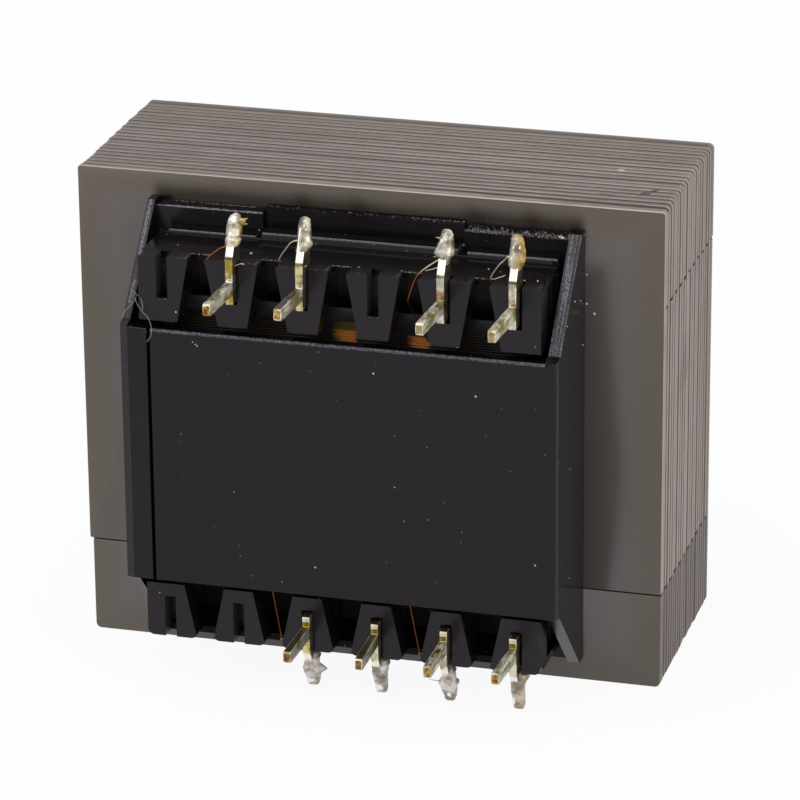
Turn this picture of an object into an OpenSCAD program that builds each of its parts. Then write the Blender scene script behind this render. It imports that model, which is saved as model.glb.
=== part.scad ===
// Open-frame mains transformer for a printed circuit board.
// An interleaved stack of E and I plates closes round a moulded coil former whose two
// terminal rails carry stamped pins. Two-piece covers guard the coil at the front and back.
// The origin is under the middle of the core; the pins point along -Y and +Z is up.

/* [Core] */
// Width of an outer leg and of a yoke; the whole plate follows from it
leg_w = 7; // [6:0.5:10]
// Thickness of one plate
sheet_t = 0.65; // [0.35:0.05:0.7]
// Varnish and air between two plates
sheet_gap = 0.07; // [0.02:0.01:0.1]
// Pairs of layers, one with its joint low and one with its joint high
layer_pairs = 11; // [8:1:14]
// Rounding of the plates' outer corners
sheet_corner_r = 0.4; // [0.1:0.05:0.5]
// Joint between an E plate and its I plate
joint_gap = 0.2; // [0.05:0.05:0.3]

/* [Coil former] */
// Clearance between the former and the core
core_clear = 0.15; // [0.05:0.05:0.3]
// Wall of the tube round the centre leg
tube_wall = 1; // [0.6:0.1:1.2]
// Thickness of a flange and of the partition
flange_t = 1; // [0.6:0.1:1.2]
// Free space between the coil and an outer leg
coil_gap = 0.6; // [0.3:0.1:1.5]
// How far the winding builds up in front of and behind the tube
winding_depth = 3.4; // [2:0.1:5]
// Thickness of the tape round the windings
tape_t = 0.15; // [0.1:0.05:0.2]
// Bare winding left above and below the tape
tape_margin = 1.2; // [0.8:0.1:2]
// How far the thin barrier in front of a yoke is wider than the centre leg, at each side
barrier_side = 0.1; // [0:0.05:0.5]
// Thickness of that barrier
barrier_t = 0.4; // [0.3:0.05:0.6]
// How far the barrier stops short of the core's edge
barrier_short = 1.7; // [1:0.1:2.5]

/* [Terminal rails] */
// Distance between neighbouring pins
pin_pitch = 5; // [4.5:0.25:5]
// Places for pins in a rail
place_count = 6; // [4:1:6]
// Distance from the core's window out to a row of pins
row_rise = 2; // [1.75:0.25:2.5]
// How far the posts stand back from the cover's front
post_recess = 0.5; // [0.2:0.1:0.8]
// Thickness of a post's front block
post_t = 1.9; // [1.2:0.1:2.5]
// Width of a post at its outer end
post_outer_w = 3.8; // [3:0.1:4.2]
// Width of a post at its inner end
post_inner_w = 2.1; // [1.6:0.1:2.8]
// How far the posts reach past the row of pins
post_past_row = 1.65; // [1.2:0.05:2]
// Rounding of the outer corners of the lower posts
post_corner_r = 0.45; // [0.1:0.05:0.8]
// Rounding of the outer corners of the upper posts
upper_post_r = 0.3; // [0.1:0.05:0.8]
// Width of the slot for a pin
slot_w = 0.8; // [0.7:0.05:1]
// How far a slot reaches inwards from the row of pins
slot_in = 1.4; // [1.2:0.1:2]
// Gap between the posts' tips and the edge of the cover plate
post_cover_gap = 0.45; // [0.1:0.05:0.8]
// Thickness of the rail's outer skin
rail_skin = 0.5; // [0.4:0.1:0.8]
// How far the skin stops behind the posts' front
skin_back = 1.2; // [0.8:0.1:1.9]
// Thickness of the rail's back wall
rail_back_t = 0.5; // [0.4:0.1:0.8]
// Gap between the core and the rail's back wall
rail_stand = 2; // [1.4:0.1:2.2]
// Gap between the core and the middle of the back wall, where no apron lies
rail_mid_stand = 1.1; // [0.7:0.1:2]
// How far the back wall stands above the skin
rail_rim = 0.1; // [0:0.05:0.4]
// Plastic beside the end posts' pins
rail_end = 1.7; // [1.4:0.1:2]

/* [Covers] */
// Space between the coil and the cover plate
cover_gap = 2.3; // [0.3:0.1:3]
// Thickness of the cover plate and of the lip
plate_t = 1; // [0.6:0.1:1.2]
// How far the cover plate stops short of an end of the core's window
plate_short = 1.15; // [1:0.05:2]
// How far the cover plate sits below the middle of the core
plate_drop = 0.35; // [0:0.05:0.6]
// Gap between the rails and the wall that carries the plate
wall_gap = 0.4; // [0.2:0.1:1]
// Thickness of the wall that carries the plate
plate_wall_t = 0.85; // [0.6:0.05:1]
// Thickness of the wall that carries the lip
lip_wall_t = 0.55; // [0.4:0.05:0.8]
// Width of the lip beside the plate
lip_w = 2; // [1.5:0.1:3]
// How much further out the lip's wall stands than the plate's wall
lip_out = 0.1; // [0:0.05:0.3]
// Groove between the lip and the plate
plate_groove = 0.25; // [0.2:0.05:0.5]
// Rounding of the plate's outer edge
plate_edge_r = 0.45; // [0.2:0.05:0.6]
// Width of the bevel on the lip's outer edge
lip_bevel_w = 0.6; // [0.3:0.05:0.9]
// Depth of that bevel
lip_bevel_d = 0.35; // [0.1:0.05:0.6]
// How far a wall stands past the plate's edge, just behind the plate
wall_rise = 0.25; // [0:0.05:0.5]
// How far the walls stop short of the core's edge, where they meet it
wall_short = 1.7; // [1.2:0.05:2.5]
// Thickness of the aprons that lie on the core
apron_t = 1.05; // [0.8:0.05:1.2]
// How much further the aprons stop short of the core's edge than the walls
apron_short = 0.3; // [0:0.05:0.5]
// Clearance between the two halves, and between a cover and the rails
cover_clear = 0.1; // [0.05:0.05:0.3]

/* [Pins] */
// Thickness of the stamped sheet
pin_t = 0.55; // [0.5:0.05:0.7]
// Height of the leg that enters the board
pin_leg_h = 0.9; // [0.6:0.05:1]
// How far a leg stands out of the cover's front
pin_stand = 4.9; // [3:0.1:6]
// Bevel round the tip of the leg
pin_bevel = 0.12; // [0.05:0.01:0.2]
// How far the bar that sits in the slot stands out of the post
bar_proud = 0.7; // [0.3:0.1:1]
// How far the bar reaches inwards from the row of pins
bar_in = 1.2; // [0.8:0.1:1.3]
// Start of the bend past the end of the posts
bend_start = 0.45; // [0.1:0.05:0.6]
// Height of the bend
bend_h = 0.8; // [0.5:0.05:1.2]
// How much nearer to the leg the lower pins bend
lower_bend_in = 0.65; // [0:0.05:0.8]
// How far the bend brings the terminal back behind the bar's front
bend_back = 0.45; // [0.2:0.05:0.8]
// How far the terminal's end stands back behind the bar's front
terminal_set = 1.2; // [0.5:0.1:1.4]
// Depth of the terminal, front to back
terminal_d = 0.8; // [0.5:0.05:1]
// End of the terminal past the row of pins
terminal_past_row = 4.4; // [3.8:0.1:4.6]
// Clearance between the pin and the bottom of its slot
pin_clear = 0.05; // [0.02:0.01:0.1]

/* [Solder and leads] */
// Width of a solder joint at its thickest
solder_w = 1.3; // [1:0.05:1.6]
// Solder past the end of the terminal
solder_tip = 0.4; // [0.2:0.05:0.6]
// Start of the solder past the end of the posts
solder_start = 0.9; // [0.5:0.05:1.2]
// Width of the solder's foot, as a share of its thickest part
solder_foot = 0.62; // [0.4:0.01:0.9]
// Diameter of a lead-out wire
lead_d = 0.22; // [0.15:0.01:0.3]
// Slack a lead keeps above the coil and round the rail's outer edge
lead_slack = 0.8; // [0.5:0.1:1]

/* [Hidden] */
$fn = 48;
overlap = 0.01;

// Scrapless plates: six legs wide and, with the joint, five legs high.
core_w = 6 * leg_w;
core_h = 5 * leg_w + joint_gap;
window_h = 3 * leg_w + joint_gap;
core_mid = core_h / 2;
layer_pitch = sheet_t + sheet_gap;
layers = 2 * layer_pairs;
stack_t = layers * layer_pitch - sheet_gap;

// Coil former, as half sizes about the centre leg.
tube_in_x = leg_w + core_clear;
tube_in_y = stack_t / 2 + core_clear;
tube_x = tube_in_x + tube_wall;
tube_y = tube_in_y + tube_wall;
winding_build = leg_w - core_clear - tube_wall - tape_t - coil_gap;
coil_x = tube_x + winding_build;
coil_y = tube_y + winding_depth;
coil_front = coil_y - stack_t / 2;
coil_corner_r = min(winding_build, winding_depth) / 2;
former_h = window_h - 2 * core_clear;
chamber_h = (former_h - 3 * flange_t) / 2;
rail_half_w = (place_count - 1) / 2 * pin_pitch + rail_end;
row_pitch = 3 * leg_w + 2 * row_rise;
rail_reach = row_pitch / 2 + post_past_row;
barrier_half_w = leg_w + barrier_side;
barrier_reach = core_h / 2 - barrier_short;

// Covers, and the posts behind their front.
plate_back = coil_front + tape_t + cover_gap;
cover_front = plate_back + plate_t;
post_front = cover_front - post_recess;
post_back = post_front - post_t;
skin_front = post_front - skin_back;
inside_w = 2 * max(rail_half_w, coil_x + tape_t);
cover_w = inside_w + 2 * (wall_gap + plate_wall_t);
wall_foot_h = core_h - 2 * wall_short;
plate_h = 3 * leg_w - 2 * plate_short;
plate_mid = core_mid - plate_drop;
plate_top = plate_mid + plate_h / 2;
plate_bottom = plate_mid - plate_h / 2;
right_x = cover_w / 2;
left_x = -cover_w / 2 - lip_out;
lip_x = left_x + lip_w;
plate_x = lip_x + plate_groove;
apron_x = barrier_half_w + cover_clear;

// Pins, as distances in front of the core.
pin_reach = cover_front + pin_stand;
bar_front = post_front + bar_proud;
terminal_front = bar_front - terminal_set;

// Pins fitted, as places counted from the left.
upper_pins = [1, 2, 4, 5];
lower_pins = [2, 3, 4, 5];
pin_count = len(upper_pins) + len(lower_pins);
function is_upper(n) = n < len(upper_pins);
function pin_x(n) = place_x(is_upper(n) ? upper_pins[n] : lower_pins[n - len(upper_pins)]);
function place_x(place) = (place - (place_count - 1) / 2) * pin_pitch;

// Y of a plane that lies a distance d in front of the core.
function out(d) = -stack_t / 2 - d;

// ---- helpers for placing outlines ----

// Stands an X-Z outline up and extrudes it along Y from y0 to y1.
module along_y(y0, y1) {
    translate([0, y1, 0]) rotate([90, 0, 0]) linear_extrude(y1 - y0) children();
}

// Extrudes an outline of [distance in front of the core, height] points along X from x0 to x1.
module along_x(x0, x1, points) {
    translate([x0, 0, 0]) rotate([90, 0, 90]) linear_extrude(x1 - x0)
        polygon([for (p = points) [out(p[0]), p[1]]]);
}

// A box between two corners given as [x, distance in front of the core, height].
module block(a, b) {
    translate([a[0], out(b[1]), a[2]]) cube([b[0] - a[0], b[1] - a[1], b[2] - a[2]]);
}

// A rectangle between two corners, with all its corners rounded by true arcs.
module rounded(a, b, r) {
    translate([a[0] + r, a[1]]) square([b[0] - a[0] - 2 * r, b[1] - a[1]]);
    translate([a[0], a[1] + r]) square([b[0] - a[0], b[1] - a[1] - 2 * r]);
    for (x = [a[0] + r, b[0] - r], z = [a[1] + r, b[1] - r]) translate([x, z]) circle(r);
}

// Turns what stands on the upper side of the core's middle over to the lower side.
module lower() {
    translate([0, 0, core_h]) mirror([0, 0, 1]) children();
}

// ---- core ----

// An I plate closes the bottom of the core.
module i_outline() {
    rounded([-core_w / 2, 0], [core_w / 2, leg_w], sheet_corner_r);
}

// An E plate stands on it, with its yoke at the top.
module e_outline() {
    difference() {
        rounded([-core_w / 2, leg_w + joint_gap], [core_w / 2, core_h], sheet_corner_r);
        for (side = [-1, 1]) translate([side * 1.5 * leg_w - leg_w / 2, 0])
            square([leg_w, core_h - leg_w]);
    }
}

// One layer's sheet at its place in the stack; odd layers are turned over.
module layer(k) {
    y = -stack_t / 2 + k * layer_pitch;
    if (k % 2 == 0) along_y(y, y + sheet_t) children();
    else lower() along_y(y, y + sheet_t) children();
}

module front_e_plate() {
    color("#645c58") layer(0) e_outline();
}

module front_i_plate() {
    color("#645c58") layer(0) i_outline();
}

module back_e_plate() {
    color("#645c58") layer(layers - 1) e_outline();
}

module back_i_plate() {
    color("#645c58") layer(layers - 1) i_outline();
}

module e_plates_joint_low() {
    color("#6f6663") for (k = [2 : 2 : layers - 2]) layer(k) e_outline();
}

module i_plates_joint_low() {
    color("#6f6663") for (k = [2 : 2 : layers - 2]) layer(k) i_outline();
}

module e_plates_joint_high() {
    color("#7d7472") for (k = [1 : 2 : layers - 3]) layer(k) e_outline();
}

module i_plates_joint_high() {
    color("#7d7472") for (k = [1 : 2 : layers - 3]) layer(k) i_outline();
}

// ---- coil former ----

// A square tube between two heights, given by its outer and inner half sizes.
module ring(outer, inner, r, z0, z1) {
    translate([0, 0, z0]) linear_extrude(z1 - z0) difference() {
        rounded(-outer, outer, r);
        translate(-inner) square(2 * inner);
    }
}

// A flange fills the core's windows and spreads out in front of and behind the core.
module flange() {
    z = core_mid + former_h / 2 - flange_t;
    difference() {
        union() {
            translate([-2 * leg_w + core_clear, -coil_y, z])
                cube([4 * leg_w - 2 * core_clear, 2 * coil_y, flange_t]);
            block([-rail_half_w, core_clear, z], [rail_half_w, coil_front, z + flange_t]);
            mirror([0, 1, 0])
                block([-rail_half_w, core_clear, z], [rail_half_w, coil_front, z + flange_t]);
        }
        translate([-tube_in_x, -tube_in_y, z - overlap])
            cube([2 * tube_in_x, 2 * tube_in_y, flange_t + 2 * overlap]);
    }
}

// Front block of a post: a wedge that widens outwards, with the slot for its pin.
module post(place, inner_z, corner_r) {
    end = place == 0 ? -1 : place == place_count - 1 ? 1 : 0;
    outer_z = core_mid + rail_reach;
    half_out = post_outer_w / 2;
    half_in = post_inner_w / 2;
    left = end < 0 ? [rail_end, rail_end] : [half_in, half_out];
    right = end > 0 ? [rail_end, rail_end] : [half_in, half_out];
    translate([place_x(place), 0, 0]) along_y(out(post_front), out(post_back)) difference() {
        intersection() {
            polygon([[-left[0], inner_z], [right[0], inner_z], [right[1], outer_z], [-left[1], outer_z]]);
            rounded([-left[1], core_mid], [right[1], outer_z], corner_r);
        }
        translate([-slot_w / 2, core_mid + row_pitch / 2 - slot_in])
            square([slot_w, slot_in + post_past_row + overlap]);
    }
}

// Terminal rail on the upper flange: posts in front, ribs behind them, skin and back wall.
module rail(inner_z, corner_r) {
    base_z = core_mid + former_h / 2 - overlap;
    outer_z = core_mid + rail_reach;
    for (place = [0 : place_count - 1]) {
        post(place, inner_z, corner_r);
        x = place_x(place);
        block([x - post_inner_w / 2, rail_stand, base_z], [x + post_inner_w / 2, post_back, outer_z]);
    }
    block([-rail_half_w, rail_stand, outer_z - rail_skin], [rail_half_w, skin_front, outer_z]);
    wall_z = outer_z + rail_rim;
    block([-rail_half_w, rail_stand, base_z], [rail_half_w, rail_stand + rail_back_t, wall_z]);
    block([-barrier_half_w, rail_mid_stand, base_z], [barrier_half_w, rail_stand + rail_back_t, wall_z]);
}

// Thin barrier that keeps the wires off the yoke between the cover's aprons.
module barrier() {
    z = core_mid + former_h / 2 - flange_t;
    far = [barrier_half_w, core_clear + barrier_t, core_mid + barrier_reach];
    block([-barrier_half_w, core_clear, z], far);
    mirror([0, 1, 0]) block([-barrier_half_w, core_clear, z], far);
}

module coil_former() {
    color("#2c2a2b") {
        ring([tube_x, tube_y], [tube_in_x, tube_in_y], tube_wall / 2,
            core_mid - former_h / 2, core_mid + former_h / 2);
        ring([coil_x, coil_y], [tube_in_x, tube_in_y], coil_corner_r,
            core_mid - flange_t / 2, core_mid + flange_t / 2);
        flange();
        lower() flange();
        barrier();
        lower() barrier();
        rail(plate_top + post_cover_gap, upper_post_r);
        lower() rail(core_h - plate_bottom + post_cover_gap, post_corner_r);
    }
}

// ---- coil ----

// One chamber's winding, which fills the former from the tube outwards.
module winding() {
    ring([coil_x, coil_y], [tube_x, tube_y], coil_corner_r,
        core_mid + flange_t / 2, core_mid + flange_t / 2 + chamber_h);
}

module upper_winding() {
    color("#a8551e") winding();
}

module lower_winding() {
    color("#a8551e") lower() winding();
}

module coil_tape() {
    half_h = former_h / 2 - flange_t - tape_margin;
    color("#c9b458") translate([0, 0, core_mid - half_h]) linear_extrude(2 * half_h) difference() {
        rounded([-coil_x - tape_t, -coil_y - tape_t], [coil_x + tape_t, coil_y + tape_t],
            coil_corner_r + tape_t);
        rounded([-coil_x, -coil_y], [coil_x, coil_y], coil_corner_r);
    }
}

// ---- covers ----

// Side view of a cover wall: wide at the core, and slanting to the height of the plate.
function wall_side() = [
    [0, core_mid - wall_foot_h / 2],
    [apron_t, core_mid - wall_foot_h / 2],
    [plate_back, plate_bottom - wall_rise],
    [cover_front, plate_bottom],
    [cover_front, plate_top],
    [plate_back, plate_top + wall_rise],
    [apron_t, core_mid + wall_foot_h / 2],
    [0, core_mid + wall_foot_h / 2]
];

// The two tongues that lie on the core above and below the coil.
module aprons(x0, x1) {
    near = former_h / 2 + cover_clear;
    far = wall_foot_h / 2 - apron_short;
    block([x0, 0, core_mid + near], [x1, apron_t, core_mid + far]);
    block([x0, 0, core_mid - far], [x1, apron_t, core_mid - near]);
}

// What rounding the right wall's front edge takes away, in plan.
module right_edge() {
    x = right_x - plate_edge_r;
    difference() {
        translate([x, out(cover_front)]) square(plate_edge_r);
        translate([x, out(cover_front - plate_edge_r)]) circle(plate_edge_r);
    }
}

// What the bevel on the left wall's front edge takes away, in plan.
module left_edge() {
    polygon([
        [left_x, out(cover_front)],
        [left_x + lip_bevel_w, out(cover_front)],
        [left_x, out(cover_front - lip_bevel_d)]
    ]);
}

// Half of the cover with the flat plate over the coil.
module cover_plate_half() {
    difference() {
        union() {
            along_x(right_x - plate_wall_t, right_x, wall_side());
            block([plate_x, plate_back, plate_bottom], [right_x, cover_front, plate_top]);
        }
        linear_extrude(core_h) right_edge();
    }
    aprons(apron_x, right_x);
}

// Half of the cover with the narrow lip beside the plate.
module cover_lip_half() {
    difference() {
        union() {
            along_x(left_x, left_x + lip_wall_t, wall_side());
            block([left_x, plate_back, plate_bottom], [lip_x, cover_front, plate_top]);
        }
        linear_extrude(core_h) left_edge();
    }
    aprons(left_x, -apron_x);
}

module front_cover_plate() {
    color("#2c2a2b") cover_plate_half();
}

module front_cover_lip() {
    color("#2c2a2b") cover_lip_half();
}

module back_cover_plate() {
    color("#2c2a2b") rotate([0, 0, 180]) cover_plate_half();
}

module back_cover_lip() {
    color("#2c2a2b") rotate([0, 0, 180]) cover_lip_half();
}

// ---- pins ----

// Puts what is drawn for an upper pin at x = 0 into its place in either row.
module at_pin(n) {
    translate([pin_x(n), 0, 0]) {
        if (is_upper(n)) children();
        else lower() children();
    }
}

// Side view of pin n: board leg, bar in the slot, bend, and terminal outside the post.
function pin_side(n) = let (
    row = core_mid + row_pitch / 2,
    post_end = core_mid + rail_reach,
    bend_z = post_end + bend_start - (is_upper(n) ? 0 : lower_bend_in),
    terminal_back = terminal_front - terminal_d,
    bend_back_d = skin_front + pin_clear,
    skin_z = post_end - rail_skin - pin_clear,
    bar_back = post_back + pin_clear
) [
    [pin_reach, row - pin_leg_h / 2 + pin_bevel],
    [pin_reach, row + pin_leg_h / 2 - pin_bevel],
    [pin_reach - pin_bevel, row + pin_leg_h / 2],
    [bar_front, row + pin_leg_h / 2],
    [bar_front, bend_z],
    [bar_front - bend_back, bend_z + bend_h],
    [terminal_front, row + terminal_past_row],
    [terminal_back, row + terminal_past_row],
    [terminal_back, bend_z + bend_h],
    [bend_back_d, post_end + pin_clear],
    [bend_back_d, skin_z],
    [bar_back, skin_z],
    [bar_back, row - bar_in],
    [bar_front, row - bar_in],
    [bar_front, row - pin_leg_h / 2],
    [pin_reach - pin_bevel, row - pin_leg_h / 2]
];

module pin(n) {
    color("#c8bd94") at_pin(n) along_x(-pin_t / 2, pin_t / 2, pin_side(n));
}

// ---- solder ----

// Radius of the solder along the terminal, from its foot at 0 to its tip at 1: it swells
// over the first half and closes in a blunt dome.
function solder_r(t) = solder_w / 2 * sqrt(1 - pow(t, 6))
    * (solder_foot + (1 - solder_foot) * sin(180 * t));

// A drop of solder round the terminal, drawn out to a rounded tip.
module solder(n) {
    z0 = core_mid + rail_reach + solder_start;
    z1 = core_mid + row_pitch / 2 + terminal_past_row + solder_tip;
    steps = 12;
    color("#bdb9b0") at_pin(n) difference() {
        translate([0, out(terminal_front - terminal_d / 2), z0]) rotate_extrude()
            polygon(concat(
                [[0, 0]],
                [for (i = [0 : steps]) [solder_r(i / steps), (z1 - z0) * i / steps]]
            ));
        along_x(-pin_t / 2, pin_t / 2, pin_side(n));
    }
}

// ---- leads ----

// Points of a smooth run through a list of hand-placed points.
function bend(p, i, t) = let (
    a = p[max(i - 1, 0)], b = p[i], c = p[i + 1], d = p[min(i + 2, len(p) - 1)]
) 0.5 * (2 * b + (c - a) * t + (2 * a - 5 * b + 4 * c - d) * t * t + (3 * b - a - 3 * c + d) * t * t * t);
function smooth(p, n) = concat(
    [for (i = [0 : len(p) - 2], k = [0 : n - 1]) bend(p, i, k / n)],
    [p[len(p) - 1]]
);

// A round wire swept along a path; each ring is turned by a direction that no lead runs along.
module wire(path, d, sides = 8) {
    never_along = [0.35, 0.8, 0.15];
    function unit(v) = v / norm(v);
    function tangent(i) = unit(path[min(i + 1, len(path) - 1)] - path[max(i - 1, 0)]);
    function side_of(t) = unit(cross(t, never_along));
    rings = [for (i = [0 : len(path) - 1]) let (t = tangent(i), u = side_of(t), v = cross(t, u))
        for (s = [0 : sides - 1]) path[i] + d / 2 * (cos(360 * s / sides) * u + sin(360 * s / sides) * v)];
    last = (len(path) - 1) * sides;
    polyhedron(rings, concat(
        [[for (s = [0 : sides - 1]) s]],
        [for (i = [0 : len(path) - 2], s = [0 : sides - 1]) let (a = i * sides, b = (s + 1) % sides)
            [a + s, a + sides + s, a + sides + b, a + b]],
        [[for (s = [sides - 1 : -1 : 0]) last + s]]
    ));
}

// A lead leaves its winding, passes the rail between two posts and ends at the solder.
module lead(n) {
    gap_x = -pin_pitch / 2;
    rail_z = core_mid + rail_reach;
    coil_z = core_mid + former_h / 2 - flange_t;
    solder_z = rail_z + solder_start + lead_slack / 2;
    solder_y = out(terminal_front - terminal_d / 2);
    color("#b5651d") at_pin(n) wire(smooth([
        [gap_x + lead_d, out(coil_front + lead_d), coil_z - lead_slack],
        [gap_x, out(skin_front + lead_d), coil_z + lead_slack],
        [gap_x + lead_d, out(skin_front + lead_d), rail_z - lead_slack],
        [gap_x + lead_slack, out(skin_front + 2 * lead_d), rail_z + lead_slack],
        [-(solder_w + lead_d) / 2, solder_y, solder_z]
    ], 4), lead_d);
}

front_e_plate();
front_i_plate();
back_e_plate();
back_i_plate();
e_plates_joint_low();
i_plates_joint_low();
e_plates_joint_high();
i_plates_joint_high();
coil_former();
upper_winding();
lower_winding();
coil_tape();
front_cover_plate();
front_cover_lip();
back_cover_plate();
back_cover_lip();
for (n = [0 : pin_count - 1]) {
    pin(n);
    solder(n);
    lead(n);
}
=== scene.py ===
# Looks of an open-frame mains transformer for a printed circuit board, built round its packed
# solids. Sizes are in metres; mm turns a size written in millimetres into metres.
import math
import random
from collections import namedtuple

import bmesh
import bpy
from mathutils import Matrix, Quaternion, Vector, noise


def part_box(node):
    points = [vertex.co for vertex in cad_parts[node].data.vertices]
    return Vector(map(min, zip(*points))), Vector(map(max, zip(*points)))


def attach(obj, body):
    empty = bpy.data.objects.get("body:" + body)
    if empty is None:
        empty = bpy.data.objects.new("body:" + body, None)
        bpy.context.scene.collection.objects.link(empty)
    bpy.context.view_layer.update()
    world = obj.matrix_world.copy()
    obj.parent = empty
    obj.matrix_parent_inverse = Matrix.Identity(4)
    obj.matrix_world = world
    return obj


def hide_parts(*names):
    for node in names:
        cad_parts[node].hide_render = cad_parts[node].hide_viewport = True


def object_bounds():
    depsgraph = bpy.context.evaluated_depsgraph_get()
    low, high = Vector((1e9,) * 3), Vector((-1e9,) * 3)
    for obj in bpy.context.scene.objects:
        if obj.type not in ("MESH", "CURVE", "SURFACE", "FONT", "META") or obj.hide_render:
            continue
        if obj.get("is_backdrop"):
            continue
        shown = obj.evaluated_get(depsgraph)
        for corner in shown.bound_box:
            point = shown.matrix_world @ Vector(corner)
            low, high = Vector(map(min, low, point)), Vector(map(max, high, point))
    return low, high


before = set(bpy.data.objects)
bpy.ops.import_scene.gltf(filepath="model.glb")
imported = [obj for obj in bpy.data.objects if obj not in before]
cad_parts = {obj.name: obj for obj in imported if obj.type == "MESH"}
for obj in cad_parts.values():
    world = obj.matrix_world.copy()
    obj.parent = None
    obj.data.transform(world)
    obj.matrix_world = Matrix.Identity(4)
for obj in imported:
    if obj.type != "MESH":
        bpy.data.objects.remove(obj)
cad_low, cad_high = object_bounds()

mm = 0.001

# ---- Table, light and camera ----
# The transformer stands on a plain white table top in an even white room. Three soft boxes hang
# round it, above, to the left and to the right. The camera looks down on the terminal side from
# a little to the right.

class Worked:
    """A number or a colour that a shader works out; numbers can be added, multiplied and compared."""

    def __init__(self, socket):
        self.socket = socket
        self.tree = socket.id_data

    def __add__(self, other):
        return maths("ADD", self, other)

    def __radd__(self, other):
        return maths("ADD", other, self)

    def __sub__(self, other):
        return maths("SUBTRACT", self, other)

    def __rsub__(self, other):
        return maths("SUBTRACT", other, self)

    def __mul__(self, other):
        return maths("MULTIPLY", self, other)

    def __truediv__(self, other):
        return maths("DIVIDE", self, other)

    def __pow__(self, other):
        return maths("POWER", self, other)

    def __neg__(self):
        return maths("MULTIPLY", self, -1.0)

    def __abs__(self):
        return maths("ABSOLUTE", self)

    def __lt__(self, other):
        return maths("LESS_THAN", self, other)

    def __gt__(self, other):
        return maths("GREATER_THAN", self, other)


def tint(code):
    """A colour written as a paint code, such as 8a7f7c, in the linear values of a shader."""
    parts = [int(code[i:i + 2], 16) / 255 for i in (0, 2, 4)]
    return [c / 12.92 if c <= 0.04045 else ((c + 0.055) / 1.055) ** 2.4 for c in parts] + [1.0]


def put(socket, value):
    """Gives a socket its value: something worked out, another socket, a paint code or a number."""
    if isinstance(value, Worked):
        value = value.socket
    if isinstance(value, bpy.types.NodeSocket):
        socket.id_data.links.new(value, socket)
    else:
        socket.default_value = tint(value) if isinstance(value, str) else value


def add(tree, kind, links=None, **settings):
    """A shader node with its settings; links gives its inputs what put takes."""
    node = tree.nodes.new("ShaderNode" + kind)
    for key, value in settings.items():
        setattr(node, key, value)
    for key, value in (links or {}).items():
        put(node.inputs[key], value)
    return node


def maths(operation, a, b=0.0):
    """A sum or a test of two numbers, at least one of them worked out."""
    tree = (a if isinstance(a, Worked) else b).tree
    return Worked(add(tree, "Math", {0: a, 1: b}, operation=operation).outputs[0])


def most(first, *others):
    """The largest of some numbers."""
    for other in others:
        first = maths("MAXIMUM", first, other)
    return first


def ranged(value, to_low, to_high, low=0.0, high=1.0, change="LINEAR"):
    """The value, brought from between low and high to between to_low and to_high."""
    links = {"Value": value, "From Min": low, "From Max": high, "To Min": to_low, "To Max": to_high}
    return Worked(add(value.tree, "MapRange", links, interpolation_type=change).outputs[0])


def seen_directly(tree):
    """1 where the camera, a reflection or glass sees the surface, and 0 where it only lights."""
    path = add(tree, "LightPath")
    return most(*(Worked(path.outputs[f"Is {ray} Ray"]) for ray in ("Camera", "Glossy", "Transmission")))


def finish_of(name):
    """A new material, its node tree and its Principled shader."""
    made = bpy.data.materials.new(name)
    made.use_nodes = True
    return made, made.node_tree, made.node_tree.nodes["Principled BSDF"]


def feed(shader, **values):
    """Gives the shader's sockets, written with _ for a space, their values."""
    for key, value in values.items():
        put(shader.inputs[key.replace("_", " ")], value)


def in_scene(name, data):
    """A new object in the scene."""
    made = bpy.data.objects.new(name, data)
    scene.collection.objects.link(made)
    return made


scene = bpy.context.scene
scene.view_settings.view_transform = "Standard"

room_light = 0.6
room = bpy.data.worlds.new("white_room")
room.use_nodes = True
scene.world = room
feed(room.node_tree.nodes["Background"], Color=(1, 1, 1, 1),
     Strength=ranged(seen_directly(room.node_tree), room_light, 1.0))

table_glow = 0.93
table_top, tree, paper = finish_of("white_table")
feed(paper, Base_Color=(0.86, 0.86, 0.86, 1), Roughness=0.9, Specular_IOR_Level=0.0)
glow = add(tree, "Emission", {"Color": (1, 1, 1, 1), "Strength": 1.0})
both = add(tree, "MixShader", {0: seen_directly(tree) * table_glow, 1: paper.outputs[0], 2: glow.outputs[0]})
put(tree.nodes["Material Output"].inputs["Surface"], both.outputs[0])

table_reach = 2.0
mesh = bpy.data.meshes.new("table")
corners = [(-1, -1), (1, -1), (1, 1), (-1, 1)]
mesh.from_pydata([(x * table_reach, y * table_reach, cad_low.z) for x, y in corners], [], [(0, 1, 2, 3)])
mesh.materials.append(table_top)
in_scene("table", mesh)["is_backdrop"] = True

middle = (cad_low + cad_high) / 2


def soft_box(name, place, size, watts):
    """A square soft light that faces the middle of the transformer."""
    lamp = bpy.data.lights.new(name, "AREA")
    lamp.shape = "SQUARE"
    lamp.size = size
    lamp.energy = watts
    holder = in_scene(name, lamp)
    holder.location = middle + Vector(place)
    holder.rotation_mode = "QUATERNION"
    holder.rotation_quaternion = (-Vector(place)).to_track_quat("-Z", "Y")


soft_box("box_above", (-0.08, -0.10, 0.50), 0.45, 1.1)
soft_box("box_left", (-0.45, -0.38, 0.25), 0.35, 0.5)
soft_box("box_right", (0.50, -0.20, 0.22), 0.35, 0.6)

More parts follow.
